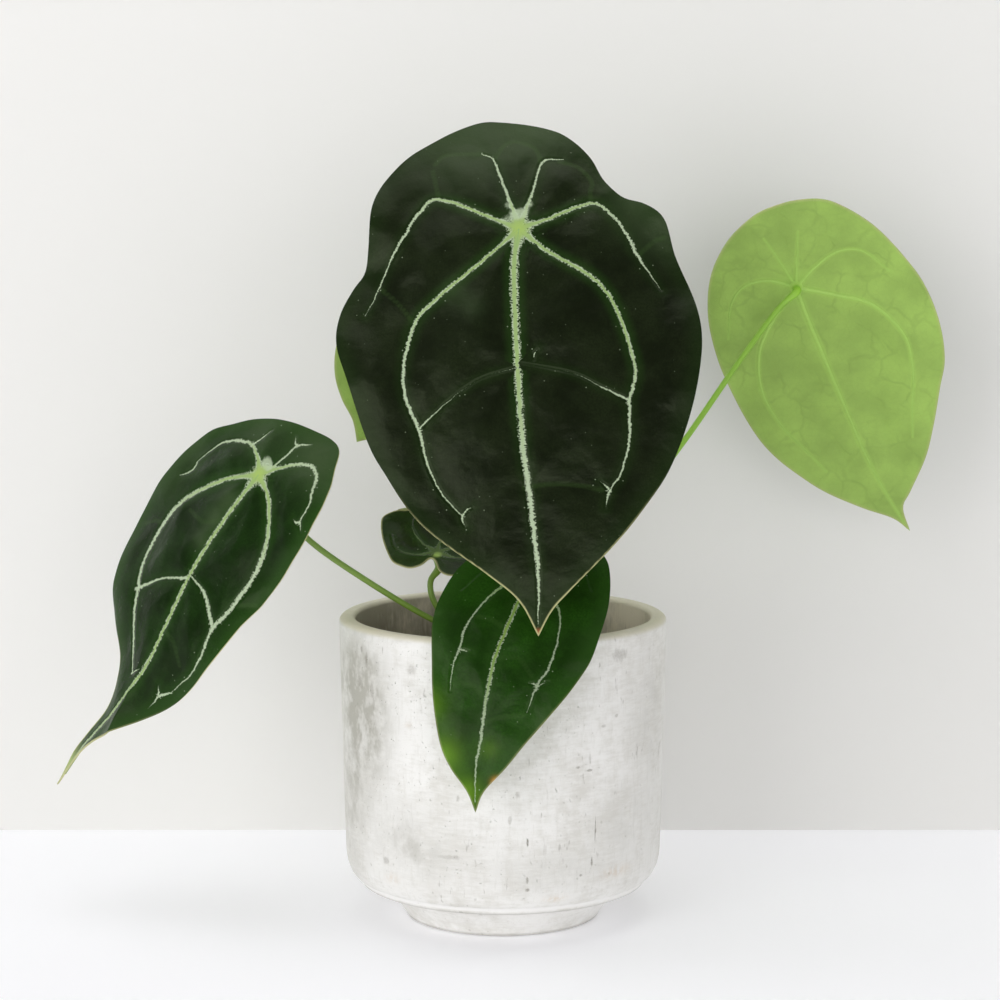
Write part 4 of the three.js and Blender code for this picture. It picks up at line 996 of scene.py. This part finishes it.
def cement_paint(settings):
    """Whitewashed cement: a patchy wash, brushed marks, stains and fine pits, with painted shade and
    a painted highlight about the lower edge and foot, and painted shade inside.
    """
    paint = Paint("whitewashed_cement")
    place = paint.place()
    across, height = paint.part(place, "X"), paint.part(place, "Z")
    patch = paint.noise(place, 0.03, 4.0, 0.6)
    brushed = paint.noise(paint.place((1, 1, 0.8)), 0.12, 3.0, 0.7)
    upright = paint.noise(paint.place((1, 1, 0.16)), 0.6, 3.0, 0.7)
    level = paint.noise(paint.place((0.2, 0.2, 1)), 0.7, 3.0, 0.7)
    grain = paint.noise(place, 1.6, 2.0, 0.6)
    ragged = paint.noise(paint.place((1, 1, 0.6)), 0.55, 3.0, 0.65)
    pits = paint.noise(place, 0.9, 2.0)
    fleck = paint.noise(paint.place((1, 1, 0.3)), 0.4, 2.0, 0.6)
    wash = paint.ramp(patch * 0.4 + brushed * 0.35 + level * 0.25, 0.36, 0.58)
    skin = paint.mix(wash, settings.cement, settings.wash)
    skin = paint.mix(paint.ramp(upright, 0.5, 0.7) * 0.35, skin, settings.cement)
    cloudy = paint.attribute("cloud_share") * (0.5 + 1.2 * paint.ramp(brushed, 0.3, 0.7))
    skin = paint.mix(paint.lower(cloudy, 1.0), skin, settings.cloud)
    stains = paint.ramp(paint.attribute("mark_gap") + (ragged - 0.5) * 1.8, 1.3, 0.4)
    stains = stains * paint.attribute("mark_strength")
    flecks = paint.ramp(fleck, 0.64, 0.72) * paint.ramp(patch, 0.56, 0.42) * 0.35
    stains = paint.lower(stains + flecks, 1.0)
    skin = paint.mix(stains * (0.7 + 0.3 * paint.ramp(grain, 0.35, 0.6)), skin, settings.stain)
    tan = paint.attribute("tan_share") * paint.ramp(ragged, 0.3, 0.6)
    skin = paint.mix(tan, skin, settings.tan)
    edge = settings.edge_height / MM
    # Painted shade: a dark line just under the bright lower edge, where the ledge shades the foot,
    # and a darker band at the foot's very bottom, partly painted contact shadow and partly grime.
    under_edge_shade = 0.35 * paint.ramp(abs(height - edge + 2), 1.6, 0.2)
    skin = paint.mix(under_edge_shade + 0.5 * paint.ramp(height, 2.0, 0.3), skin, settings.stain)
    # The bright line along the sharp lower edge is partly a painted highlight and partly wear.
    edge_highlight_and_wear = paint.ramp(abs(height - edge - 0.6), 1.3, 0.4)
    skin = paint.mix(edge_highlight_and_wear * 0.85, skin, (0.93, 0.92, 0.9))
    # Painted light: the set-in foot is a little lighter, against the shade under the overhang.
    foot = paint.ramp(height, edge - 1, edge - 4)
    skin = paint.mix(foot * 0.15, skin, shade(settings.wash, 1.06))
    # Inside, the noise gives damp blotches, and the sideways term paints shade and light: the left of
    # the inside is darker and the right lighter, as lit from the left.
    damp = paint.ramp(patch * 0.6 + upright * 0.2 + across * 0.0015, 0.28, 0.52)
    inside = paint.mix(damp, settings.inner_dark, settings.inner)
    skin = paint.mix(paint.attribute("pot_inside"), skin, inside)
    rim = paint.attribute("pot_rim") * (0.3 + 0.8 * patch)
    skin = paint.mix(rim, skin, settings.rim)
    relief = 0.06 * grain - 0.35 * paint.ramp(pits, 0.32, 0.22)
    return paint.surface(skin, 0.62 + 0.22 * patch, relief, Specular_IOR_Level=0.3)


def soil_paint(name, light, dark, scale, depth):
    """Crumbly or woody matter in two tones."""
    paint = Paint(name)
    place = paint.place()
    patch = paint.noise(place, scale, 4.0, 0.65)
    grain = paint.noise(place, scale * 6, 2.0)
    skin = paint.mix(paint.ramp(patch, 0.35, 0.65), dark, light)
    skin = paint.mix(paint.ramp(grain, 0.6, 0.75) * 0.5, skin, shade(light, 1.5))
    return paint.surface(skin, 0.78 + 0.15 * grain, depth * (patch + 0.4 * grain),
                         Specular_IOR_Level=0.25)


class PLANT_OT_set_stage(bpy.types.Operator):
    """Sets up the camera, the soft lights, the table and the wall"""

    bl_idname = "plant.set_stage"
    bl_label = "Stage"

    def execute(self, context):
        settings = context.scene.plant_stage
        scene = context.scene
        scene.view_settings.view_transform = "Standard"
        camera = bpy.data.objects.new("camera", bpy.data.cameras.new("camera"))
        camera.data.lens = settings.lens
        camera.data.sensor_width = 36
        camera.location = settings.camera_place
        camera.rotation_euler = (math.pi / 2 - settings.camera_pitch, 0, 0)
        scene.collection.objects.link(camera)
        scene.camera = camera

        # The sky is dim between the low light and the top, or the dark leaves would mirror it.
        sky = Paint("daylight", bpy.data.worlds)
        ahead = sky.node("ShaderNodeTexCoord", None, None, "Generated")
        rise = sky.part(ahead, "Z")
        band = sky.ramp(rise, 0.18, 0.36) * sky.ramp(rise, 0.98, 0.9)
        glow = sky.mix(band, (1, 1, 1), (settings.dim_band,) * 3)
        sky.node("ShaderNodeOutputWorld", None, {"Surface": sky.node(
            "ShaderNodeBackground", None, {"Color": glow, "Strength": settings.daylight})})
        scene.world = sky.owner
        for name, place, size, share in LAMPS:
            light = bpy.data.lights.new(name, "AREA")
            light.size = size
            light.energy = settings.window * share
            lamp = bpy.data.objects.new(name, light)
            lamp.location = place
            ahead = Vector(LAMP_AIM) - Vector(place)
            lamp.rotation_euler = ahead.to_track_quat("-Z", "Y").to_euler()
            scene.collection.objects.link(lamp)

        table = Paint("white_table").surface(
            settings.table, 0.7, Specular_IOR_Level=0.2, Emission_Color=(1, 1, 1, 1),
            Emission_Strength=settings.table_glow)
        bm = bmesh.new()
        bmesh.ops.create_grid(bm, x_segments=1, y_segments=1, size=TABLE_HALF)
        make_object(bm, "table", [table])

        # The wall is clear from behind, where it would hide the plant.
        wall = Paint("pale_wall")
        plaster = wall.node("ShaderNodeBsdfDiffuse", None, {"Color": (*settings.wall, 1)})
        clear = wall.node("ShaderNodeBsdfTransparent")
        behind = wall.node("ShaderNodeNewGeometry", None, None, "Backfacing")
        wall.node("ShaderNodeOutputMaterial", None, {"Surface": wall.node(
            "ShaderNodeMixShader", None, {0: behind, 1: plaster, 2: clear})})
        place = Matrix.Translation((0, settings.wall_distance, WALL_HALF))
        bm = bmesh.new()
        bmesh.ops.create_grid(bm, x_segments=1, y_segments=1, size=WALL_HALF,
                              matrix=place @ Matrix.Rotation(math.pi / 2, 4, "X"))
        make_object(bm, "wall", [wall.owner])
        return {"FINISHED"}


class PLANT_OT_make_pot(bpy.types.Operator):
    """Spins the cement pot with its rounded rim and set-in foot"""

    bl_idname = "plant.make_pot"
    bl_label = "Cement pot"

    @staticmethod
    def small_marks(pot):
        """The small marks as (angle round the pot, height, half-width, half-height, strength)."""
        radius = pot.rim_radius / MM - 1.5
        marks = [(math.asin(x / radius), *rest) for x, *rest in POT_MARKS]
        rng = random.Random(BACK_SEED)
        for _ in range(BACK_MARKS):
            marks.append((rng.uniform(1.4, 4.9), rng.uniform(24, 124), rng.uniform(0.35, 1.3),
                          rng.uniform(0.7, 4.0), rng.uniform(0.25, 0.7)))
        return marks

    @staticmethod
    def nearest(marks, vert):
        """How many half-sizes away the nearest mark is, and its strength."""
        x, y, z = vert.co / MM
        turn = math.atan2(x, -y)
        radius = math.hypot(x, y)
        best = (NO_MARK, 0.0)
        for angle, height, half_wide, half_high, strength in marks:
            aside = math.remainder(turn - angle, 2 * math.pi) * radius
            gap = math.hypot(aside / half_wide, (z - height) / half_high)
            if gap < best[0]:
                best = (gap, strength)
        return best

    @staticmethod
    def share(patches, vert):
        """How far the broad patches on the pot's front cover a place, from 0 to 1."""
        x, y, z = vert.co / MM
        if y > 0:
            return 0.0
        return min(1.0, sum(strength * math.exp(-((x - px) / wide) ** 2 - ((z - pz) / high) ** 2)
                            for px, pz, wide, high, strength in patches))

    def execute(self, context):
        pot = context.scene.plant_pot

        def wall_radius(height):
            return pot.rim_radius - pot.taper * (pot.height - height)

        corner_top = pot.edge_height + pot.corner
        width = wall_radius(corner_top) - pot.edge_radius
        corner = []
        steps, begin = 12, 1.3
        for i in range(steps + 1):
            angle = math.pi / 2 * (i + begin) / (steps + begin)
            corner.append((pot.edge_radius + width * math.sin(angle),
                           corner_top - (pot.corner - MM) * math.cos(angle)))
        inner_round = pot.rim_round * 0.7
        inner_top = wall_radius(pot.height) - pot.wall + inner_round
        inner_foot = wall_radius(corner_top) - pot.wall
        wall_steps, steps = [], 60
        for k in range(1, steps):
            z = corner_top + (pot.height - pot.rim_round - corner_top) * k / steps
            wall_steps.append((wall_radius(z), z))
        inner_steps = [(r - pot.wall, z) for r, z in reversed(wall_steps[::6])]
        profile = [
            (0, 0), (pot.foot_radius - 1.6 * MM, 0), (pot.foot_radius - 0.4 * MM, 0.4 * MM),
            (pot.foot_radius, 1.4 * MM),
            (pot.foot_top - 1.5 * MM, pot.foot_height - 1.5 * MM),
            (pot.foot_top, pot.foot_height - 0.1 * MM),
            (pot.foot_top + 1 * MM, pot.foot_height + 0.6 * MM),
            (pot.edge_radius - 1.6 * MM, pot.edge_height - 2 * MM),
            (pot.edge_radius - 0.5 * MM, pot.edge_height - 1.5 * MM),
            (pot.edge_radius, pot.edge_height - 0.6 * MM), *corner, *wall_steps,
            *arc(pot.rim_radius - pot.rim_round, pot.height - pot.rim_round, pot.rim_round,
                 0, 90, 8),
            *arc(inner_top, pot.height - inner_round, inner_round, 90, 180, 6), *inner_steps,
            (inner_foot, corner_top), (pot.floor_radius, pot.foot_height), (0, pot.foot_height)]
        bm = bmesh.new()
        layers = bm.verts.layers.float
        inside, rim = layers.new("pot_inside"), layers.new("pot_rim")
        cloud, tan = layers.new("cloud_share"), layers.new("tan_share")
        mark_gap, mark_strength = layers.new("mark_gap"), layers.new("mark_strength")
        spun(bm, profile, POT_STEPS)
        marks = self.small_marks(pot)
        marked = {v for v in bm.verts if self.nearest(marks, v)[0] < MARK_REACH}
        bmesh.ops.subdivide_edges(bm, edges=[e for e in bm.edges if marked.issuperset(e.verts)],
                                  cuts=MARK_CUTS, use_grid_fill=True)
        for vert in bm.verts:
            radius, z = math.hypot(vert.co.x, vert.co.y), vert.co.z
            depth = pot.height - z
            slope = (z - pot.foot_height) / (corner_top - pot.foot_height)
            bore = min(wall_radius(z) - pot.wall,
                       pot.floor_radius + slope * (inner_foot - pot.floor_radius))
            within = radius < bore + 1.2 * MM and z > pot.foot_height - 0.05 * MM
            vert[inside] = smoothstep(depth / (3 * MM) + 0.25) if within else 0.0
            vert[rim] = smoothstep(1.3 - depth / (2 * MM))
            if not within:
                vert[mark_gap], vert[mark_strength] = self.nearest(marks, vert)
                vert[cloud] = self.share(CLOUD_MARKS, vert)
                vert[tan] = self.share(TAN_MARKS, vert)
            else:
                vert[mark_gap] = NO_MARK
            dent = noise.noise(vert.co / DENT_SIZE) * DENT_DEPTH
            if z > 2 * MM and radius > 1e-6:
                vert.co.x += vert.co.x / radius * dent
                vert.co.y += vert.co.y / radius * dent
        make_piece(bm, "cement_pot", [cement_paint(pot)], "pot")
        return {"FINISHED"}


class PLANT_OT_fill_pot(bpy.types.Operator):
    """Fills the pot with potting mix, bark chips, perlite and fibres"""

    bl_idname = "plant.fill_pot"
    bl_label = "Potting mix"

    def lump(self, x, y):
        """The bed's broad waves."""
        return (math.sin(x * 0.19 + 1.3) * math.cos(y * 0.23 - 0.6)
                + 0.6 * math.sin(x * 0.41 - y * 0.33))

    def top(self, x, y):
        """Height of the bed in millimetres over a point in millimetres."""
        return (self.settings.height / MM - 1 + self.settings.lumps / MM * self.lump(x, y)
                + 0.9 * noise.noise(Vector((x, y, 3)) / 4))

    def scatter(self, rng, reach):
        """A random place on the bed, clear of the crown."""
        angle = rng.uniform(0, 2 * math.pi)
        radius = reach * math.sqrt(rng.uniform(CROWN_CLEAR, 1))
        return radius * math.cos(angle), radius * math.sin(angle)

    def place(self, x, y, lift):
        """The matrix that sets a loose piece so many millimetres above the bed's top."""
        return Matrix.Translation(Vector((x, y, self.top(x, y) + lift)) * MM)

    def execute(self, context):
        self.settings = settings = context.scene.plant_filling
        pot = context.scene.plant_pot
        rng = random.Random(MIX_SEED)
        reach = (pot.rim_radius - pot.taper * (pot.height - settings.height) - pot.wall) / MM - 0.4
        top = settings.height / MM
        bm = bmesh.new()
        rings = 30
        surface = [(reach * k / rings, top) for k in range(rings, -1, -1)]
        spun(bm, [(r * MM, z * MM) for r, z in [*BED_BOTTOM, (reach, top - 3), *surface]], BED_STEPS)
        for vert in bm.verts:
            if vert.co.z > (top - 0.5) * MM:
                vert.co.z = self.top(vert.co.x / MM, vert.co.y / MM) * MM
        mix = soil_paint("damp_mix", settings.soil, shade(settings.soil, 0.4), 0.35, 0.8)
        make_piece(bm, "potting_bed", [mix], "potting_mix")

        bm = bmesh.new()
        for _ in range(settings.chips):
            x, y = self.scatter(rng, reach - 5)
            long = rng.uniform(5, 12)
            turn = Matrix.Rotation(rng.uniform(0, 6.3), 4, "Z")
            turn = turn @ Matrix.Rotation(rng.uniform(-0.45, 0.45), 4, "Y")
            turn = turn @ Matrix.Rotation(rng.uniform(-0.5, 0.5), 4, "X")
            place = self.place(x, y, rng.uniform(-0.6, 1.4))
            scale = Matrix.Diagonal((long * MM, long * rng.uniform(0.4, 0.7) * MM,
                                     rng.uniform(1.6, 3.4) * MM, 1))
            verts = bmesh.ops.create_cube(bm, size=1, matrix=place @ turn @ scale)["verts"]
            for vert in verts:
                vert.co += jitter(rng, 0.6) * MM
        bmesh.ops.bevel(bm, geom=bm.edges[:], offset=0.35 * MM, segments=1, profile=0.5,
                        affect="EDGES", material=-1)
        bark = soil_paint("bark", settings.bark, settings.bark_dark, 0.5, 0.5)
        make_piece(bm, "bark_chips", [bark])

        bm = bmesh.new()
        for _ in range(settings.grains):
            x, y = self.scatter(rng, reach - 3)
            size = rng.uniform(0.7, 1.6)
            verts = bmesh.ops.create_icosphere(bm, subdivisions=1, radius=size * MM,
                                               matrix=self.place(x, y, size * 0.5))["verts"]
            for vert in verts:
                vert.co += jitter(rng, 0.28) * size * MM
        grain = soil_paint("perlite", settings.perlite, shade(settings.perlite, 0.8), 1.2, 0.3)
        make_piece(bm, "perlite", [grain])

        bm = bmesh.new()
        for _ in range(settings.strands):
            x, y = self.scatter(rng, reach - 9)
            angle, bow = rng.uniform(0, 6.3), rng.uniform(-3, 3)
            points = []
            for k in range(7):
                run = (k - 3) * rng.uniform(1.4, 2.2)
                aside = bow * (1 - (k / 3 - 1) ** 2)
                px = x + run * math.cos(angle) - aside * math.sin(angle)
                py = y + run * math.sin(angle) + aside * math.cos(angle)
                points.append(self.place(px, py, rng.uniform(0.2, 1.6)).translation)
            sweep(bm, points, [0.22 * MM] * len(points), 5)
        fibre = soil_paint("fibre", settings.fibre, settings.bark_dark, 0.4, 0.1)
        make_piece(bm, "coconut_fibres", [fibre])
        return {"FINISHED"}


class PLANT_OT_make_crown(bpy.types.Operator):
    """Makes the short stem with its papery scales and thick roots"""

    bl_idname = "plant.make_crown"
    bl_label = "Crown"

    def execute(self, context):
        settings = context.scene.plant_filling
        bm = bmesh.new()
        spun(bm, [(r * MM, z * MM) for r, z in CROWN_OUTLINE], CROWN_STEPS)
        for root in ROOTS:
            points = [p * MM for _, p in Line(root).spread(1.0)]
            last = len(points) - 1
            radii = [(1.7 + 0.2 * math.sin(k * 0.9)) * (1 - 0.15 * k / last) * MM
                     for k in range(last + 1)]
            sweep(bm, points, radii, 12)
        for face in bm.faces:
            centre = face.calc_center_median()
            face.material_index = 1 if math.hypot(centre.x, centre.y) > 9 * MM else 0
        scales = []
        for turn, azimuth in enumerate(SCALE_AZIMUTHS):
            made = bmesh.ops.create_grid(bm, x_segments=10, y_segments=14, size=1)["verts"]
            scales += made
            # A scale wraps the stem, narrows towards its tip and leans out there.
            for vert in made:
                u, t = vert.co.x, (vert.co.y + 1) / 2
                spread = 0.75 * (1 - t ** 2.2) + 0.03
                angle = math.radians(azimuth) + u * spread
                radius = 8.4 + 1.6 * t * t + 0.35 * math.cos(u * 9) * t
                height = 99 + 15.2 * t + 0.6 * math.sin(u * 5 + turn)
                vert.co = Vector((radius * math.cos(angle), radius * math.sin(angle), height)) * MM
        papery = list({f for v in scales for f in v.link_faces})
        bmesh.ops.recalc_face_normals(bm, faces=papery)
        shell = bmesh.ops.solidify(bm, geom=papery, thickness=0.3 * MM)["geom"]
        papery += [g for g in shell if isinstance(g, bmesh.types.BMFace)]
        papery += [f for v in scales for f in v.link_faces]
        for face in papery:
            face.material_index = 2
        stem = soil_paint("crown_stem", settings.stem, settings.bark, 0.3, 0.3)
        root = soil_paint("thick_root", settings.root, shade(settings.root, 0.7), 0.3, 0.25)
        scale = soil_paint("papery_scale", settings.scale, settings.bark, 0.25, 0.3)
        make_piece(bm, "crown_stem", [stem, root, scale], "crown")
        return {"FINISHED"}


class PLANT_OT_make_stalks(bpy.types.Operator):
    """Draws the six thin stalks from the crown to their blades"""

    bl_idname = "plant.make_stalks"
    bl_label = "Stalks"

    def execute(self, context):
        settings = context.scene.plant_leaf
        old = stalk_paint("stalk_green", settings.stalk, settings)
        young = stalk_paint("stalk_lime", settings.stalk_young, settings)
        foot, slim, neck = STALK_RADII
        for name, shape in BLADES.items():
            blade = Blade(shape, settings)
            angle = math.radians(shape["azimuth"])
            x, y = SOCKET_RING * math.cos(angle), SOCKET_RING * math.sin(angle)
            line = Line([(x, y, CROWN_TOP - SOCKET_DEPTH), (x, y, CROWN_TOP - 2.5),
                         (x, y, CROWN_TOP + 2), *shape["stalk"],
                         blade.origin - blade.face * (BOSS_LENGTH + 4.3),
                         blade.origin - blade.face * (BOSS_LENGTH - 0.8)])
            spots = line.spread(1.8)
            radii = []
            for share, _ in spots:
                at_foot = 1 - smoothstep(share * line.length / FOOT_LENGTH)
                at_neck = 1 - smoothstep(((1 - share) * line.length - NECK_START) / NECK_LENGTH)
                radii.append((slim + (foot - slim) * at_foot + (neck - slim) * at_neck) * MM)
            bm = bmesh.new()
            height = bm.verts.layers.float.new("stalk_share")
            turn = bm.verts.layers.float.new("stalk_turn")
            for share, ring in sweep(bm, [p * MM for _, p in spots], radii, 16):
                for k, vert in enumerate(ring):
                    vert[height] = share
                    vert[turn] = abs(k / 8 - 1)
            make_piece(bm, f"stalk_of_{name}_leaf", [young if name in YOUNG else old],
                       f"stalk_{name}")
        return {"FINISHED"}


class PLANT_OT_make_leaves(bpy.types.Operator):
    """Shapes the six blades with their veins, ribs and margins"""

    bl_idname = "plant.make_leaves"
    bl_label = "Leaves"

    def execute(self, context):
        settings = context.scene.plant_leaf
        unders = {}
        for age, green, bright, rib, edge in (
                ("grown", settings.under, shade(settings.under, 1.3), shade(settings.under, 1.25),
                 settings.margin),
                ("young", settings.under_young, settings.rib_young, settings.rib_young,
                 settings.under_young)):
            unders[age] = (leaf_under(f"{age}_underside", green, bright, settings),
                           leaf_margin(f"{age}_margin", settings.margin, edge),
                           leaf_rib(f"{age}_rib", rib))
        tops = {kind: leaf_upper(kind, settings) for kind in FACES}
        for name, shape in BLADES.items():
            age = "young" if name in YOUNG else "grown"
            kind = "young" if name in YOUNG else name
            blade = Blade(shape, settings)
            under, margin, rib = unders[age]
            bm = bmesh.new()
            blade.sheet(bm)
            blade.thicken(bm, settings.thickness)
            make_piece(bm, f"{name}_leaf", [tops[kind], under, margin], f"blade_{name}", 50)
            bm = bmesh.new()
            self.add_ribs(bm, blade, settings.thickness / MM + RIB_DEPTH, RIB_FLATNESS[age])
            make_piece(bm, f"{name}_leaf_ribs", [rib])
        return {"FINISHED"}

    @staticmethod
    def add_ribs(bm, blade, depth, flatness):
        """Adds the ribs along the veins, so far below the upper face, and the stalk's collar."""
        share_mark = bm.verts.layers.float.new("rib_share")
        for _, _, line in blade.veins:
            points, radii = [], []
            for share, point in line.spread(2.5):
                below = blade.normal(point.x, point.y) * depth
                points.append((blade.at(point.x, point.y) - below) * MM)
                radii.append(RIB_RADIUS * (1 - 0.72 * share) * MM * (line.length / 170 + 1) / 2)
            across = blade.normal(0, 0).cross(points[1] - points[0])
            for share, ring in sweep(bm, points, radii, 8, flatness, across):
                for vert in ring:
                    vert[share_mark] = share
        steps, start = 6, 0.7
        collar = [blade.origin - blade.face * (start + (BOSS_LENGTH - start) * k / steps)
                  for k in range(steps + 1)]
        radii = [(1.8 + 1.3 * (1 - k / steps) ** 2) * MM for k in range(steps + 1)]
        sweep(bm, [p * MM for p in collar], radii, 20)


class PLANT_PT_panel(bpy.types.Panel):
    """Lists the steps that build the plant, with their sizes and colours"""

    bl_idname = "PLANT_PT_panel"
    bl_label = "Potted plant"
    bl_space_type = "VIEW_3D"
    bl_region_type = "UI"
    bl_category = "Plant"

    def draw(self, context):
        for name, (_, operators) in GROUPS.items():
            box = self.layout.box()
            for operator in operators:
                box.operator(operator.bl_idname)
            settings = getattr(context.scene, name)
            for key in settings.bl_rna.properties.keys():
                if key not in ("rna_type", "name"):
                    box.prop(settings, key)


# The settings' names in the scene, with their class and the operators that read them.
GROUPS = {"plant_stage": (StageSettings, (PLANT_OT_set_stage,)),
          "plant_pot": (PotSettings, (PLANT_OT_make_pot,)),
          "plant_filling": (FillingSettings, (PLANT_OT_fill_pot, PLANT_OT_make_crown)),
          "plant_leaf": (LeafSettings, (PLANT_OT_make_stalks, PLANT_OT_make_leaves))}


def register():
    for name, (group, operators) in GROUPS.items():
        bpy.utils.register_class(group)
        setattr(bpy.types.Scene, name, PointerProperty(type=group))
        for operator in operators:
            bpy.utils.register_class(operator)
    bpy.utils.register_class(PLANT_PT_panel)


def unregister():
    bpy.utils.unregister_class(PLANT_PT_panel)
    for name, (group, operators) in GROUPS.items():
        for operator in operators:
            bpy.utils.unregister_class(operator)
        delattr(bpy.types.Scene, name)
        bpy.utils.unregister_class(group)


def main():
    register()
    bpy.ops.plant.set_stage()
    bpy.ops.plant.make_pot()
    bpy.ops.plant.fill_pot()
    bpy.ops.plant.make_crown()
    bpy.ops.plant.make_stalks()
    bpy.ops.plant.make_leaves()
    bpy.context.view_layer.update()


if __name__ == "__main__":
    main()
